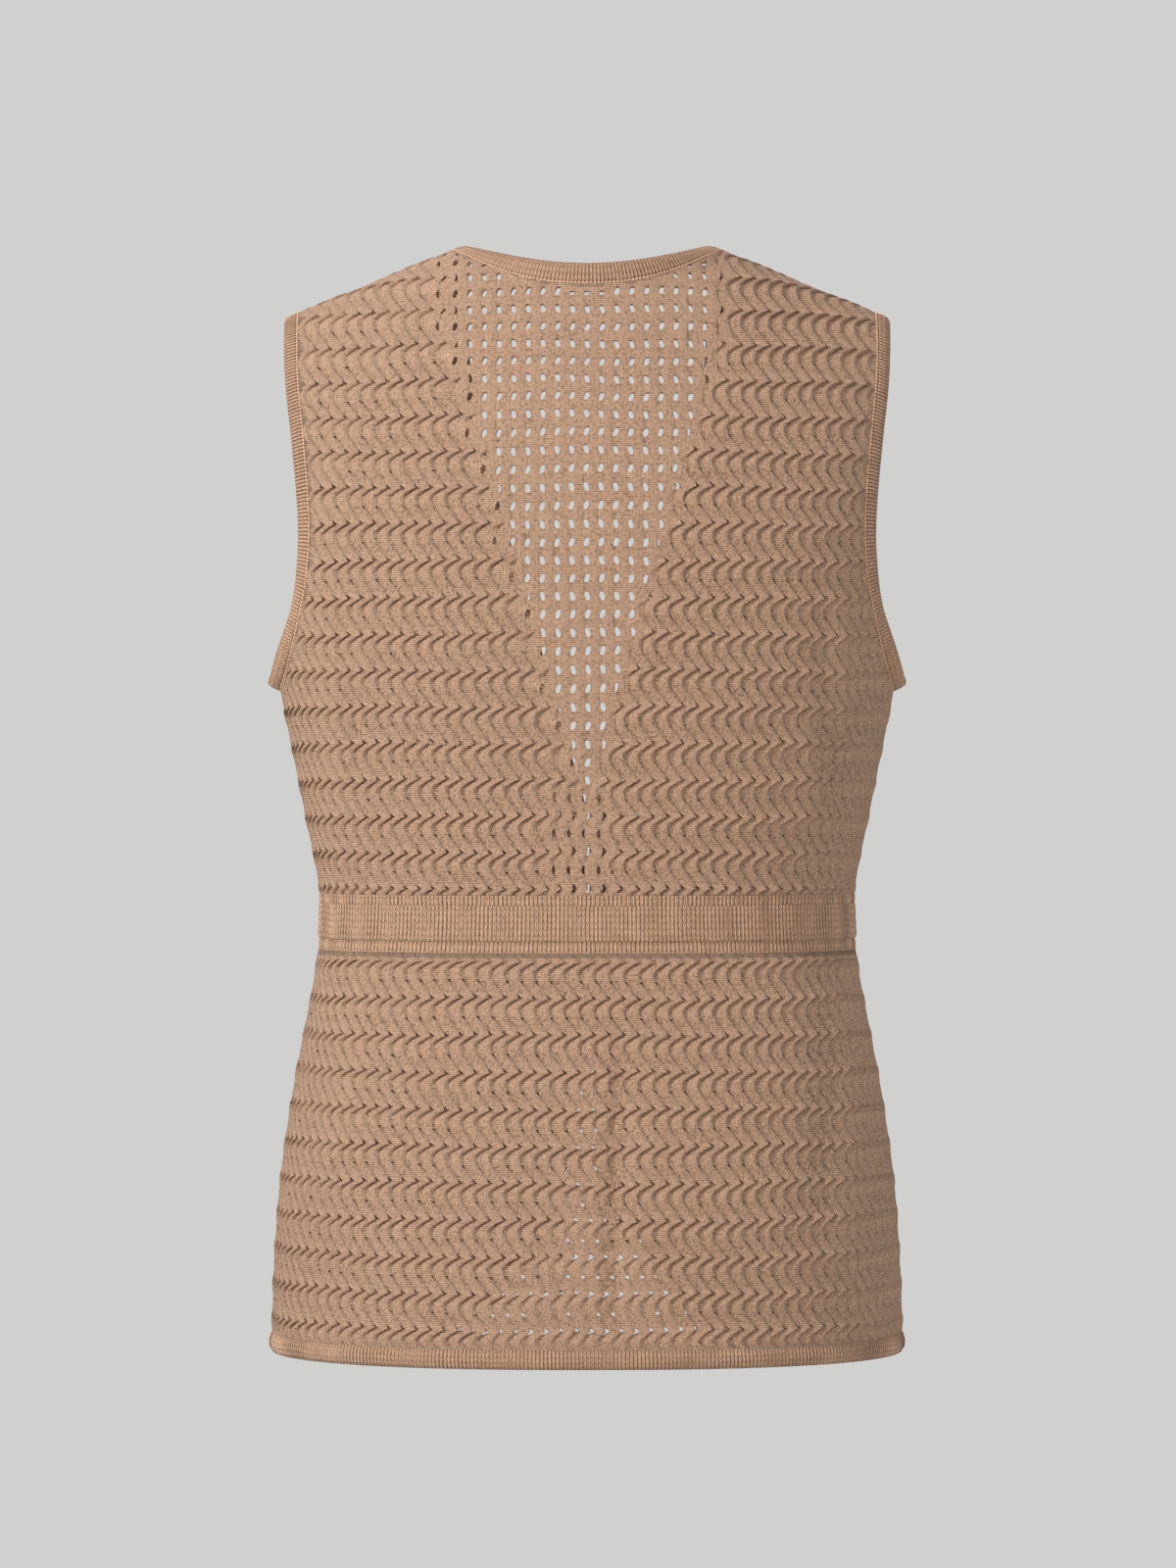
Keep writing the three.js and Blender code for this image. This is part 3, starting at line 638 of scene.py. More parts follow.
# rib bands: share of the width, distance out, share of the rib's height
RIB_OUTSIDE = ((0.03, -0.55, 0.2), (0.14, 0.1, 0.8), (0.5, 0.3, 1.0), (0.84, 0.1, 1.0), (0.985, -0.8, 0.5))
RIB_INSIDE = ((0.985, -1.9, 0.5), (0.84, -2.6, 0.8), (0.5, -2.75, 0.8), (0.14, -2.6, 0.6), (0.03, -2.2, 0.2))


def rib_strip(name, seam, edge, normal, looped=False):
    """A rib band from its seam to its free edge, with the ribs running across it."""
    length = along_line(np.concatenate([seam, seam[:1]]) if looped else seam)[-1]
    ribs = int(round(length / RIB_PITCH))
    count = ribs * RIB_SAMPLES + (0 if looped else 1)
    seam, edge, normal = resampled([seam, edge, normal], count, looped)
    normal /= np.linalg.norm(normal, axis=1, keepdims=True)
    phase = np.arange(count) * 2 * math.pi / RIB_SAMPLES
    rib = np.cos(phase)
    rings = []
    relief = []
    for share, out, strength in RIB_OUTSIDE + RIB_INSIDE:
        lift = out + (0.28 if out > -1 else -0.2) * strength * rib
        place = seam + (edge - seam) * share
        rings.append(place + normal * lift[:, None])
        # painted shade: the relief darkens the colour in the rib valleys and along the seam and the free
        # edge
        relief.append(0.35 * rib * strength + (0 if share < 0.95 and share > 0.1 else -0.2))
    grid = np.stack(rings, axis=1)
    return tube_object(name, grid, looped, RIB_PITCH, np.stack(relief, axis=1))


def unit(vectors):
    return vectors / np.maximum(np.linalg.norm(vectors, axis=-1, keepdims=True), 1e-9)


def cloth_normals(face, x, z):
    """Outward normals of a face of the body at half widths x and heights z."""
    slope_x = body_depth(face, x + STEP, z) - body_depth(face, x - STEP, z)
    slope_z = body_depth(face, x, z + STEP) - body_depth(face, x, z - STEP)
    return unit(np.stack([-slope_x, FACING[face] * np.ones_like(z) * 2 * STEP, -slope_z], axis=1))


def smoothed(normals, reach, mode):
    """Normals averaged with as many neighbours on either side as the reach."""
    kernel = np.ones(2 * reach + 1) / (2 * reach + 1)
    padded = np.pad(normals, ((reach, reach), (0, 0)), mode=mode)
    return unit(np.stack([np.convolve(padded[:, k], kernel, "valid") for k in range(3)], axis=1))


def front_rows(sign, low, high):
    """Seam, free edge and normals along a front edge, from low to high."""
    z = np.linspace(low, high, 160)
    x_seam = sign * front_seam_at(z)
    x_edge = sign * front_edge_at(z)
    seam = np.stack([x_seam, -(body_depth("front", x_seam, z) + HALF_GAP), z], axis=1)
    lift = NECK_CORNER_DROP * smoothstep(z, -40, -NECK_CORNER_DROP)
    edge = np.stack([x_edge, -(body_depth("front", x_edge, z) + HALF_GAP), z + lift], axis=1)
    return seam, edge, cloth_normals("front", x_seam, z)


def squared(seam, edge, normal, looped=False):
    """Normals made square to both the line and the band's width."""
    ahead = np.roll(seam, -1, axis=0)
    behind = np.roll(seam, 1, axis=0)
    if not looped:
        ahead[-1] = seam[-1]
        behind[0] = seam[0]
    square = unit(np.cross(ahead - behind, edge - seam))
    flip = np.sign(np.einsum("ij,ij->i", square, normal))
    return square * flip[:, None]


def neck_band():
    seam_l, edge_l, normal_l = front_rows(1, WAIST_TOP, -NECK_CORNER_DROP - 0.6)
    angle = np.linspace(math.pi / 2, -math.pi / 2, 90)[1:-1]
    x = NECK_CORNER * np.sin(angle)
    depth = neck_depth(NECK_SEAM, x)
    seam_b = np.stack([x, depth, height_of_depth("back", x, depth)], axis=1)
    share = x / NECK_CORNER
    xe = share * NECK_EDGE["half"]
    edge_b = np.stack([xe, neck_depth(NECK_EDGE, xe), -NECK_EDGE["drop"] * (1 - share ** 2)], axis=1)
    normal_b = cloth_normals("back", x, seam_b[:, 2])
    seam = np.concatenate([seam_l, seam_b, seam_l[::-1] * MIRRORED])
    edge = np.concatenate([edge_l, edge_b, edge_l[::-1] * MIRRORED])
    normal = np.concatenate([normal_l, normal_b, normal_l[::-1] * MIRRORED])
    square = smoothed(squared(seam, edge, normal), 4, "edge")
    return rib_strip("neck_and_front_rib", seam, edge, square), seam, square


def armhole_line(sign):
    climb = (1 - np.cos(np.linspace(0, math.pi, 120))) / 2
    z = UNDERARM + (SHOULDER_TIP - UNDERARM) * climb
    x = half_width_at(z)
    back = np.stack([sign * x, body_depth("back", x, z) + HALF_GAP, z], axis=1)
    front = np.stack([sign * x, -body_depth("front", x, z) - HALF_GAP, z], axis=1)
    back[[0, -1], 1] = 0
    return np.concatenate([back, front[::-1][1:-1]])


def armhole_band(name, sign):
    seam = armhole_line(sign)
    face = np.where(seam[:, 1] >= 0, 1.0, -1.0)
    x, z = seam[:, 0], seam[:, 2]
    normal = np.where(face[:, None] > 0, cloth_normals("back", x, z), cloth_normals("front", x, z))
    normal = smoothed(normal, 6, "wrap")
    ahead = np.roll(seam, -1, axis=0) - np.roll(seam, 1, axis=0)
    width = unit(np.cross(ahead, normal))
    opening = np.stack([np.full_like(z, sign * 60.0), -seam[:, 1], -140 - z], axis=1)
    width = width * np.sign(np.einsum("ij,ij->i", width, opening))[:, None]
    near = smoothstep(-z, 200, -UNDERARM)[:, None]
    width = unit(width + normal * near)
    edge = seam + width * BAND_WIDTH
    square = squared(seam, edge, normal, True)
    return rib_strip(name, seam, edge, square, True), seam, square


def round_line(height, start, count):
    """Points at one height from the left front edge round the back to the right."""
    z = np.full(count, float(height))
    front_all = side_length("front", z)[0]
    back_all = side_length("back", z)[0]
    first = s_of("front", np.array([start]), z[:1])[0]
    quarter = count // 4
    shares = np.linspace(0, 1, quarter, endpoint=False)
    front = surface("front", first + (front_all - first) * shares, z[:quarter])
    back = surface("back", back_all * (1 - shares), z[:quarter])
    left = np.concatenate([front, back])
    middle = surface("back", np.zeros(1), z[:1])
    return np.concatenate([left, middle, left[::-1] * MIRRORED])


GIRTH = 900.0


def round_band(name, start, rows, pitch, rib_height):
    """A band round the body; rows of (height, distance out, rib strength) go round its section."""
    count = 4 * int(GIRTH / pitch * RIB_SAMPLES / 4)
    rings = []
    relief = []
    for height, out, strength in rows:
        line = round_line(height, start, count)
        ahead = np.roll(line, -1, axis=0) - np.roll(line, 1, axis=0)
        ahead[0] = line[1] - line[0]
        ahead[-1] = line[-1] - line[-2]
        normal = unit(np.stack([ahead[:, 1], -ahead[:, 0], 0 * ahead[:, 0]], axis=1))
        facing = np.sign(np.einsum("ij,ij->i", normal, line * [1, 1, 0]))
        normal = normal * facing[:, None]
        rib = np.cos(np.arange(len(line)) * 2 * math.pi / RIB_SAMPLES)
        rings.append(line + normal * (out + rib_height * strength * rib)[:, None])
        # painted shade: the relief darkens the colour in the rib valleys and on the weakly ribbed rows
        relief.append(0.35 * rib * strength - (0.35 if strength < 0.3 else 0))
    grid = np.stack(rings, axis=1)
    return tube_object(name, grid, False, pitch, np.stack(relief, axis=1))


# ------------------------------------------------------------------ materials
def linear(red, green, blue):
    def one(value):
        share = value / 255
        return share / 12.92 if share <= 0.04045 else ((share + 0.055) / 1.055) ** 2.4
    return (one(red), one(green), one(blue), 1.0)


# one repeat of the openwork in stitches, and the painted shadow line under its lobes
STITCHES_ACROSS = 6.0
STITCHES_DOWN = 16.0
SHADOW_LINE_PLACE = 0.17
SHADOW_LINE_SHAPE = ((0.0, 1.0), (0.06, 0.7), (0.13, 0.0))
SHADOW_LINE_STRENGTH = ((0.0, 0.6), (0.06, 0.85), (0.18, 0.75), (0.28, 0.15),
                 (0.5, 0.12), (0.62, 0.38), (0.78, 0.05), (1.0, 0.6))
YARN_ROUGHNESS = 0.88
YARN_SPECULAR = 0.22


class Nodes:
    """A small helper that adds and links shader nodes."""

    def __init__(self, material):
        material.use_nodes = True
        self.tree = material.node_tree
        self.tree.nodes.clear()

    def add(self, kind, **settings):
        node = self.tree.nodes.new(kind)
        for key, value in settings.items():
            setattr(node, key, value)
        return node

    def link(self, source, target):
        self.tree.links.new(source, target)

    def math(self, operation, *inputs):
        node = self.add("ShaderNodeMath", operation=operation)
        for socket, value in zip(node.inputs, inputs):
            if isinstance(value, (int, float)):
                socket.default_value = value
            else:
                self.link(value, socket)
        return node.outputs[0]


def ramp(n, factor, stops):
    """A smooth curve of plain values through (place, value) stops."""
    node = n.add("ShaderNodeValToRGB")
    node.color_ramp.interpolation = "EASE"
    elements = node.color_ramp.elements
    while len(elements) < len(stops):
        elements.new(0.5)
    for element, (place, value) in zip(elements, stops):
        element.position = place
        element.color = (value, value, value, 1.0)
    n.link(factor, node.inputs["Fac"])
    return node.outputs["Color"]


def noise(n, vector, scale, detail):
    node = n.add("ShaderNodeTexNoise")
    node.inputs["Scale"].default_value = scale
    node.inputs["Detail"].default_value = detail
    n.link(vector, node.inputs["Vector"])
    return node.outputs["Fac"]


def lobe_shadow_line(n, u, v):
    """Painted shadow: the dark line under each lobe of the openwork, strongest where the lobe leans."""
    column = n.math("FRACT", n.math("MULTIPLY", u, 1 / STITCHES_ACROSS))
    away = n.math("PINGPONG", n.math("ADD", column, -SHADOW_LINE_PLACE), 0.5)
    line = ramp(n, away, SHADOW_LINE_SHAPE)
    down = n.math("FRACT", n.math("MULTIPLY", v, -1 / STITCHES_DOWN))
    return n.math("MULTIPLY", line, ramp(n, down, SHADOW_LINE_STRENGTH))


def rib_shade_line(n, u, v):
    """Painted shade: the dark line between two ribs."""
    away = n.math("PINGPONG", n.math("ADD", u, 0.5), 0.5)
    return ramp(n, away, ((0.0, 1.0), (0.17, 0.6), (0.34, 0.0)))


def wool_material(name, color, deep, lines, grain, stitch_bump, translucent):
    """Matt knitted yarn: V-shaped stitches, flecks, painted shade in the hollows and along the dark lines,
    and a soft sheen.
    """
    material = bpy.data.materials.new(name)
    n = Nodes(material)
    uv = n.add("ShaderNodeUVMap", uv_map="knit")
    split = n.add("ShaderNodeSeparateXYZ")
    n.link(uv.outputs["UV"], split.inputs[0])
    u, v = split.outputs[0], split.outputs[1]
    leg = n.math("PINGPONG", u, 0.5)
    lean = n.math("MULTIPLY_ADD", leg, 1.1, v)
    yarn = n.math("ABSOLUTE", n.math("SINE", n.math("MULTIPLY", lean, math.pi)))
    wale = n.math("SINE", n.math("MULTIPLY", leg, 2 * math.pi))
    stitch = n.math("MULTIPLY", n.math("POWER", yarn, 0.7), n.math("POWER", n.math("ABSOLUTE", wale), 0.5))
    coordinates = n.add("ShaderNodeTexCoord").outputs["Object"]
    fuzz = noise(n, coordinates, 1900.0, 3.0)
    flecks = noise(n, coordinates, 640.0, 2.0)
    cloud = noise(n, coordinates, 14.0, 2.0)
    # painted shade: the relief attribute darkens the colour in hollows, rib valleys and on inner faces
    attribute = n.add("ShaderNodeAttribute", attribute_name="relief")
    groove_shade = n.add("ShaderNodeMapRange", interpolation_type="SMOOTHSTEP")
    groove_shade.inputs["From Min"].default_value = -0.6
    groove_shade.inputs["From Max"].default_value = 0.5
    n.link(attribute.outputs["Fac"], groove_shade.inputs["Value"])
    flatness = n.add("ShaderNodeAttribute", attribute_name="flatness").outputs["Fac"]
    # painted shadow under the lobes of the openwork, painted shade between the ribs of the bands
    line = n.math("MULTIPLY", lines(n, u, v), n.math("SUBTRACT", 1.0, flatness))
    patchy = noise(n, coordinates, 190.0, 1.0)
    line = n.math("MULTIPLY", line, n.math("MULTIPLY_ADD", patchy, grain, 0.9 - grain / 2))
    shade = n.math("MULTIPLY_ADD", groove_shade.outputs["Result"], 0.22, 0.78)
    shade = n.math("MULTIPLY", shade, n.math("MULTIPLY_ADD", stitch, 0.9, 0.45))
    shade = n.math("ADD", shade, n.math("MULTIPLY_ADD", flecks, grain, -grain / 2))
    shade = n.math("ADD", shade, n.math("MULTIPLY_ADD", cloud, 0.12, -0.06))
    shade = n.math("MULTIPLY", n.math("MINIMUM", shade, 1.0), n.math("MULTIPLY_ADD", line, -0.7, 1.0))
    mix = n.add("ShaderNodeMix", data_type="RGBA")
    mix.inputs["A"].default_value = deep
    mix.inputs["B"].default_value = color
    n.link(shade, mix.inputs["Factor"])
    bump = n.add("ShaderNodeBump")
    bump.inputs["Strength"].default_value = stitch_bump
    bump.inputs["Distance"].default_value = 0.0008
    height = n.math("ADD", stitch, n.math("MULTIPLY", fuzz, 0.7))
    height = n.math("ADD", height, n.math("MULTIPLY", flecks, 1.2))
    n.link(n.math("SUBTRACT", height, line), bump.inputs["Height"])
    shader = n.add("ShaderNodeBsdfPrincipled")
    shader.inputs["Roughness"].default_value = YARN_ROUGHNESS
    shader.inputs["Specular IOR Level"].default_value = YARN_SPECULAR
    shader.inputs["Sheen Weight"].default_value = 0.12
    shader.inputs["Sheen Roughness"].default_value = 0.5
    n.link(mix.outputs["Result"], shader.inputs["Base Color"])
    n.link(bump.outputs["Normal"], shader.inputs["Normal"])
    output = n.add("ShaderNodeOutputMaterial")
    glow = n.add("ShaderNodeBsdfTranslucent")
    n.link(mix.outputs["Result"], glow.inputs["Color"])
    blend = n.add("ShaderNodeMixShader")
    blend.inputs[0].default_value = translucent
    n.link(shader.outputs[0], blend.inputs[1])
    n.link(glow.outputs[0], blend.inputs[2])
    n.link(blend.outputs[0], output.inputs[0])
    return material


# the deep colours are what the painted shade and the random flecks darken the yarn towards
YARN = linear(240, 195, 161)
YARN_SHADE_AND_FLECK = linear(132, 89, 62)
RIB_YARN = linear(228, 184, 151)
RIB_SHADE_AND_FLECK = linear(118, 80, 57)
openwork = wool_material("openwork_yarn", YARN, YARN_SHADE_AND_FLECK, lobe_shadow_line, 2.1, 1.0, 0.1)
ribwork = wool_material("rib_yarn", RIB_YARN, RIB_SHADE_AND_FLECK, rib_shade_line, 0.8, 0.9, 0.02)


def thread_material(name, color, deep):
    """Plain twisted thread of the seams."""
    material = bpy.data.materials.new(name)
    n = Nodes(material)
    coordinates = n.add("ShaderNodeTexCoord").outputs["Object"]
    mix = n.add("ShaderNodeMix", data_type="RGBA")
    mix.inputs["A"].default_value = deep
    mix.inputs["B"].default_value = color
    n.link(n.math("MULTIPLY_ADD", noise(n, coordinates, 900.0, 2.0), 1.4, 0.0), mix.inputs["Factor"])
    shader = n.add("ShaderNodeBsdfPrincipled")
    shader.inputs["Roughness"].default_value = YARN_ROUGHNESS
    shader.inputs["Specular IOR Level"].default_value = YARN_SPECULAR
    n.link(mix.outputs["Result"], shader.inputs["Base Color"])
    output = n.add("ShaderNodeOutputMaterial")
    n.link(shader.outputs[0], output.inputs[0])
    return material


thread = thread_material("seam_thread", YARN, RIB_SHADE_AND_FLECK)

# ------------------------------------------------------------------ seam stitches
STITCH_SIZES = {"Pitch": 2.1, "Length": 2.0, "Width": 1.15, "Height": 0.7}


def stitch_tree():
    """Geometry Nodes: a chain of small stitches along a line, each square to the cloth."""
    tree = bpy.data.node_groups.new("seam_stitches", "GeometryNodeTree")
    face = tree.interface
    face.new_socket(name="Line", in_out="INPUT", socket_type="NodeSocketGeometry")
    for key in STITCH_SIZES:
        face.new_socket(name=key, in_out="INPUT", socket_type="NodeSocketFloat")
    face.new_socket(name="Thread", in_out="INPUT", socket_type="NodeSocketMaterial")
    face.new_socket(name="Stitches", in_out="OUTPUT", socket_type="NodeSocketGeometry")
    add = tree.nodes.new
    link = tree.links.new
    given = add("NodeGroupInput")
    curve = add("GeometryNodeMeshToCurve")
    even = add("GeometryNodeResampleCurve")
    even.mode = "LENGTH"
    link(given.outputs["Line"], curve.inputs["Mesh"])
    link(curve.outputs["Curve"], even.inputs["Curve"])
    link(given.outputs["Pitch"], even.inputs["Length"])
    along = add("FunctionNodeAlignRotationToVector")
    along.axis = "X"
    link(add("GeometryNodeInputTangent").outputs[0], along.inputs["Vector"])
    out = add("GeometryNodeInputNamedAttribute")
    out.data_type = "FLOAT_VECTOR"
    out.inputs["Name"].default_value = "out"
    upright = add("FunctionNodeAlignRotationToVector")
    upright.axis = "Z"
    upright.pivot_axis = "X"
    link(along.outputs[0], upright.inputs["Rotation"])
    link(out.outputs[0], upright.inputs["Vector"])
    bead = add("GeometryNodeMeshIcoSphere")
    bead.inputs["Radius"].default_value = 0.5
    bead.inputs["Subdivisions"].default_value = 2
    smooth = add("GeometryNodeSetShadeSmooth")
    link(bead.outputs["Mesh"], smooth.inputs["Geometry"])
    size = add("ShaderNodeCombineXYZ")
    for socket, key in zip(size.inputs, ("Length", "Width", "Height")):
        link(given.outputs[key], socket)
    placed = add("GeometryNodeInstanceOnPoints")
    link(even.outputs["Curve"], placed.inputs["Points"])
    link(smooth.outputs[0], placed.inputs["Instance"])
    link(upright.outputs[0], placed.inputs["Rotation"])
    link(size.outputs[0], placed.inputs["Scale"])
    real = add("GeometryNodeRealizeInstances")
    link(placed.outputs[0], real.inputs[0])
    paint = add("GeometryNodeSetMaterial")
    link(real.outputs[0], paint.inputs["Geometry"])
    link(given.outputs["Thread"], paint.inputs["Material"])
    link(paint.outputs[0], add("NodeGroupOutput").inputs[0])
    return tree


STITCHES = stitch_tree()


def seam_stitches(name, line, normal, looped):
    """A row of stitches along a seam, made plain once the nodes have run."""
    count = len(line)
    mesh = bpy.data.meshes.new(name + "_line")
    edges = [(k, k + 1) for k in range(count - 1)] + ([(count - 1, 0)] if looped else [])
    mesh.from_pydata((line * MM).tolist(), edges, [])
    mesh.attributes.new("out", "FLOAT_VECTOR", "POINT").data.foreach_set("vector", normal.ravel())
    guide = add_object(name + "_line", mesh)
    modifier = guide.modifiers.new("stitches", "NODES")
    modifier.node_group = STITCHES
    for socket in STITCHES.interface.items_tree:
        if socket.in_out == "INPUT" and socket.name in STITCH_SIZES:
            modifier[socket.identifier] = STITCH_SIZES[socket.name] * MM
        if socket.in_out == "INPUT" and socket.name == "Thread":
            modifier[socket.identifier] = thread
    seen = guide.evaluated_get(bpy.context.evaluated_depsgraph_get())
    plain = bpy.data.meshes.new_from_object(seen)
    guide.modifiers.clear()
    bpy.data.objects.remove(guide)
    direction = plain.attributes.get("out")
    if direction:
        plain.attributes.remove(direction)
    piece = add_object(name, plain)
    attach(piece, "root")
    return piece


def finish_piece(piece, material, node):
    piece.data.materials.append(material)
    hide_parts(node)
    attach(piece, "root")


# ------------------------------------------------------------------ the pieces
SKIRT_TOP = WAIST_BOTTOM - SEAM_GAP
# node, face, side, bottom and top height, seed, flat size and area of the cut in metres
PANELS = (
    ("back_bodice", "back", 0, WAIST_TOP, 0.0, 11, (0.42, 0.355), 0.125),
    ("front_bodice_left", "front", 1, WAIST_TOP, 0.0, 12, (0.2, 0.355), 0.046),
    ("front_bodice_right", "front", -1, WAIST_TOP, 0.0, 13, (0.2, 0.355), 0.046),
    ("back_skirt", "back", 0, HEM_TOP, SKIRT_TOP, 14, (0.47, 0.21), 0.09),
    ("front_skirt_left", "front", 1, HEM_TOP, SKIRT_TOP, 15, (0.22, 0.21), 0.04),
    ("front_skirt_right", "front", -1, HEM_TOP, SKIRT_TOP, 16, (0.22, 0.21), 0.04),
)
for node, face, sign, low, high, seed, flat, area in PANELS:
    panel = knit_panel(node + "_knit", face, sign, low, high, seed)
    finish_piece(panel, openwork, node)

neck, neck_seam, neck_out = neck_band()
finish_piece(neck, ribwork, "neck_and_front_band")
seam_stitches("neck_seam_stitches", neck_seam, neck_out, False)
for name, sign in (("left", 1), ("right", -1)):
    ring, arm_seam, arm_out = armhole_band("armhole_rib_" + name, sign)
    finish_piece(ring, ribwork, "armhole_band_" + name)
    seam_stitches("armhole_seam_stitches_" + name, arm_seam, arm_out, True)
    seam, edge, normal = front_rows(sign, HEM_TOP, SKIRT_TOP)
    strip = rib_strip("skirt_front_rib_" + name, seam, edge, squared(seam, edge, normal))
    finish_piece(strip, ribwork, "skirt_front_band_" + name)

WAIST_ROWS = (
    (-356.1, -0.1, 0.3), (-358.5, 0.2, 1.0), (-362.5, 0.1, 1.0), (-372.0, -0.5, 0.2),
    (-380.0, -0.3, 0.6), (-383.0, 0.2, 1.0), (-387.1, -0.1, 0.3),
    (-387.1, -2.3, 0.2), (-383.0, -2.5, 0.4), (-380.0, -2.5, 0.4), (-372.0, -2.5, 0.4),
    (-362.5, -2.5, 0.4), (-358.5, -2.5, 0.4), (-356.1, -2.3, 0.2),
)
TIE_ROWS = (
    (-361.8, 0.4, 0.7), (-364.5, 0.8, 1.0), (-368.0, 1.0, 1.0), (-371.5, 1.1, 1.0),
    (-375.0, 1.1, 1.0), (-378.8, 1.1, 1.0), (-380.6, 0.6, 0.4),
    (-380.6, 0.3, 0.0), (-378.8, 0.2, 0.0), (-375.0, 0.1, 0.0), (-371.5, 0.1, 0.0),
    (-368.0, 0.1, 0.0), (-364.5, 0.2, 0.0), (-361.8, 0.35, 0.0),
)
HEM_ROWS = (
    (-597.1, -0.4, 0.3), (-599.0, 0.6, 0.9), (-602.0, 1.3, 1.0), (-605.0, 1.0, 1.0), (-607.6, -0.6, 0.6),
    (-607.8, -2.3, 0.6), (-605.0, -3.4, 0.5), (-602.0, -3.6, 0.5), (-599.0, -3.3, 0.5), (-597.4, -2.6, 0.2),
)
TIE_START = 13.3
HEM_MIDDLE = -602.5
waist = round_band("waistband_rib", FRONT_EDGE_MEETING, WAIST_ROWS, 2.4, 0.28)
finish_piece(waist, ribwork, "waistband")
tie = round_band("tie_band_rib", TIE_START, TIE_ROWS, 2.4, 0.25)
finish_piece(tie, ribwork, "tie_band")
hem = round_band("hem_rib", float(front_edge_at(np.array(HEM_MIDDLE))), HEM_ROWS, 2.1, 0.3)
finish_piece(hem, ribwork, "hem_band")

# ------------------------------------------------------------------ knot and tie ends
TIE_END_TOP = -383.8
TIE_END_RIBS = 3.5
# side, place at the knot, place at the free end, and height of the free end
TIE_ENDS = (("left", 6.0, 23.0, -588.0), ("right", -6.4, -20.0, -563.0))


def tie_end(name, root, end, low):
    """A free end of the tie: a flat rib strip that hangs in front of the skirt."""
    count = 208
    t = np.linspace(0, 1, count)
    z = TIE_END_TOP + (low - TIE_END_TOP) * t
    middle = root + (end - root) * np.sin(t * math.pi / 2)
    half = (12 + 6 * smoothstep(t, 0, 0.25)) / 2
    front = column_at(FIGURE, FRONT, z) + RIB_PROUD + 1.0
    across = 13
    shares = np.linspace(-1, 1, across)
    ribs = 0.3 * np.cos(shares * TIE_END_RIBS * 2 * math.pi)
    outer = []
    for share, rib in zip(shares, ribs):
        swell = 2.4 * (1 - 0.6 * share ** 6) + rib * (1 - share ** 6)
        outer.append(np.stack([middle + half * share, -(front + swell), z], axis=1))
    inner = []
    for share in shares[::-1]:
        inner.append(np.stack([middle + half * share, -(front + 0.3 + 0.3 * share ** 6), z], axis=1))
    grid = np.stack(outer + inner, axis=1)
    # painted shade: the relief darkens the colour in the rib valleys and on the inner face
    relief = np.tile(np.concatenate([ribs, np.full(across, -0.2)]), (count, 1))
    return tube_object(name, grid, False, 1.2, relief)


for side_name, root, end, low in TIE_ENDS:
    piece = tie_end("tie_end_rib_" + side_name, root, end, low)
    finish_piece(piece, ribwork, "tie_end_" + side_name)


KNOT_FORWARD = -97.6
KNOT_HEIGHT = -371.0
KNOT_POWER = 2.2


def tie_knot():
    """The knot: the tie wound once round itself, a cushion-like loop with two tucked sides."""
    rings = 48
    around = 40
    angle = np.linspace(0, 2 * math.pi, around, endpoint=False)
    across = np.linspace(-1, 1, rings)
    grid = np.zeros((rings, around, 3))
    relief = np.zeros((rings, around))
    for k, share in enumerate(across):
        width = 11.4 - 1.2 * share ** 2
        tall = 11.8 * (1 - 0.34 * abs(share) ** 2.4)
        deep = 6.8 * (1 - 0.5 * abs(share) ** 2.6)
        power = 2 / KNOT_POWER
        c, s = np.cos(angle), np.sin(angle)
        y = np.sign(c) * np.abs(c) ** power * deep
        z = np.sign(s) * np.abs(s) ** power * tall
        rib = 0.22 * math.cos(k * math.pi / 2)
        swell = 1 + rib / 8
        grid[k, :, 0] = share * width + 0.12 * z
        grid[k, :, 1] = KNOT_FORWARD - y * swell
        grid[k, :, 2] = KNOT_HEIGHT + z * swell
        # painted shade: the relief darkens the colour in the valleys between the wrap ribs
        relief[k] = 1.2 * rib
    return tube_object("tie_knot_rib", grid, False, 1.2, relief)


knot = tie_knot()
knot.data.materials.append(ribwork)
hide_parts("tie_knot")
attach(knot, "root")

# ------------------------------------------------------------------ stage, light, camera
PALE = linear(208, 208, 207)
# metres from the middle of the floor
FADE_START = 1.25
FADE_END = 1.9


def floor_material(name):
    """Plain pale floor that takes the shadow near the vest and is even further off."""
    material = bpy.data.materials.new(name)
    n = Nodes(material)
    matt = n.add("ShaderNodeBsdfDiffuse")
    matt.inputs["Color"].default_value = PALE
    plain = n.add("ShaderNodeEmission")
    plain.inputs["Color"].default_value = PALE
    place = n.add("ShaderNodeTexCoord")
    away = n.add("ShaderNodeVectorMath", operation="LENGTH")
    n.link(place.outputs["Object"], away.inputs[0])
    far = n.add("ShaderNodeMapRange", interpolation_type="SMOOTHSTEP")
    far.inputs["From Min"].default_value = FADE_START
    far.inputs["From Max"].default_value = FADE_END
    n.link(away.outputs["Value"], far.inputs["Value"])
    paths = n.add("ShaderNodeLightPath")
    seen = n.math("MULTIPLY", far.outputs["Result"], paths.outputs["Is Camera Ray"])
    blend = n.add("ShaderNodeMixShader")
    output = n.add("ShaderNodeOutputMaterial")
    n.link(seen, blend.inputs[0])
    n.link(matt.outputs[0], blend.inputs[1])
    n.link(plain.outputs[0], blend.inputs[2])
    n.link(blend.outputs[0], output.inputs[0])
    return material


def plane(name, corners, material):
    mesh = bpy.data.meshes.new(name)
    mesh.from_pydata(corners, [], [(0, 1, 2, 3)])
    mesh.materials.append(material)
    piece = add_object(name, mesh)
    return piece


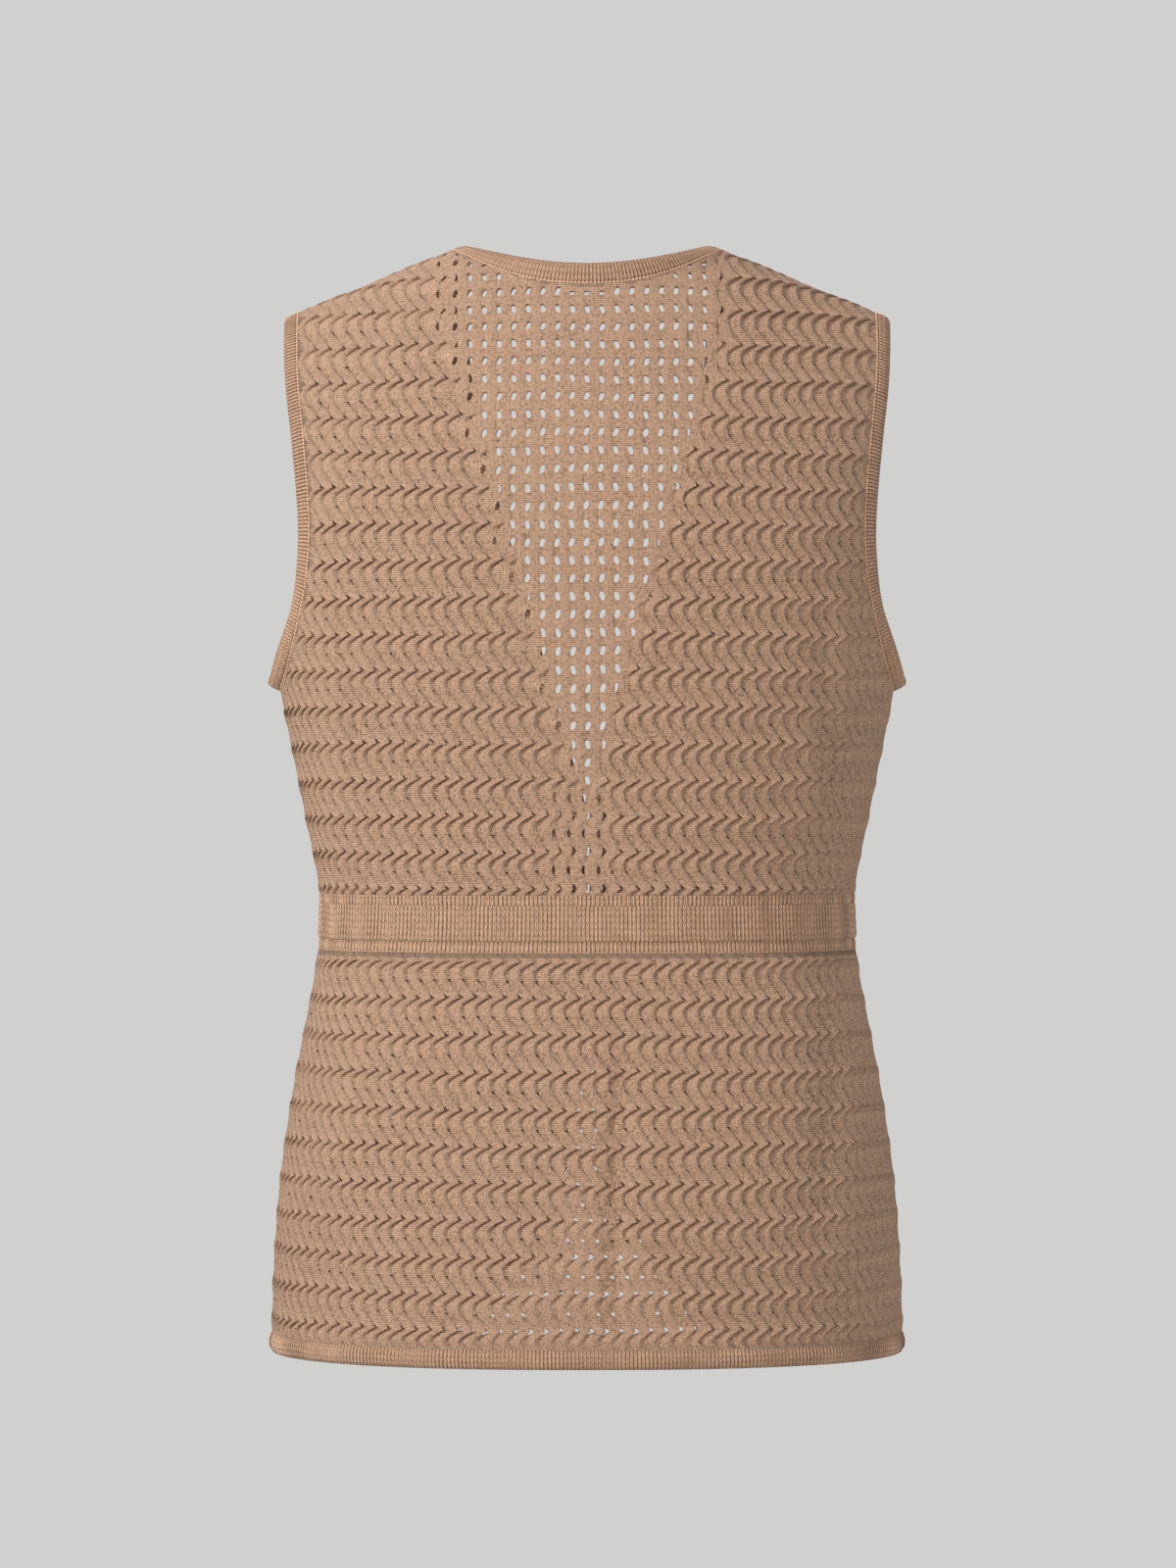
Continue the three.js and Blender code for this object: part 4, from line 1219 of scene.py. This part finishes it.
FLOOR = -1.2
FLOOR_CORNERS = [(-9, -3, FLOOR), (9, -3, FLOOR), (9, 9, FLOOR), (-9, 9, FLOOR)]
plane("floor", FLOOR_CORNERS, floor_material("floor_paint"))

world = bpy.data.worlds.new("studio")
bpy.context.scene.world = world
world.use_nodes = True
w = world.node_tree
w.nodes.clear()
sky = w.nodes.new("ShaderNodeBackground")
sky.inputs["Color"].default_value = (1.0, 1.0, 1.0, 1.0)
sky.inputs["Strength"].default_value = 0.42
seen_sky = w.nodes.new("ShaderNodeBackground")
seen_sky.inputs["Color"].default_value = PALE
light_path = w.nodes.new("ShaderNodeLightPath")
sky_mix = w.nodes.new("ShaderNodeMixShader")
sky_out = w.nodes.new("ShaderNodeOutputWorld")
w.links.new(light_path.outputs["Is Camera Ray"], sky_mix.inputs[0])
w.links.new(sky.outputs[0], sky_mix.inputs[1])
w.links.new(seen_sky.outputs[0], sky_mix.inputs[2])
w.links.new(sky_mix.outputs[0], sky_out.inputs[0])


def lamp(name, place, target, size, power):
    data = bpy.data.lights.new(name, "AREA")
    data.shape = "SQUARE"
    data.size = size
    data.energy = power
    light = add_object(name, data)
    light.visible_camera = False
    light.location = place
    aim = np.array(target) - np.array(place)
    light.rotation_euler = Vector(aim).to_track_quat("-Z", "Y").to_euler()


MIDDLE = (0.0, 0.0, -0.3)
lamp("key", (2.3, 1.7, 1.1), MIDDLE, 0.9, 90.0)
lamp("fill", (-1.6, 2.6, 0.4), MIDDLE, 1.8, 23.0)
lamp("front", (0.9, -2.0, 1.2), MIDDLE, 1.6, 26.0)

CAMERA_DISTANCE = 2.8
FRAME_HEIGHT = 0.8664
SENSOR = 36.0
camera_data = bpy.data.cameras.new("camera")
camera_data.sensor_fit = "VERTICAL"
camera_data.sensor_height = SENSOR
camera_data.lens = SENSOR * CAMERA_DISTANCE / FRAME_HEIGHT
camera = add_object("camera", camera_data)
camera.location = (-0.0005, CAMERA_DISTANCE, -0.2962)
camera.rotation_euler = (math.pi / 2, 0, math.pi)
bpy.context.scene.camera = camera
bpy.context.scene.view_settings.view_transform = "Standard"
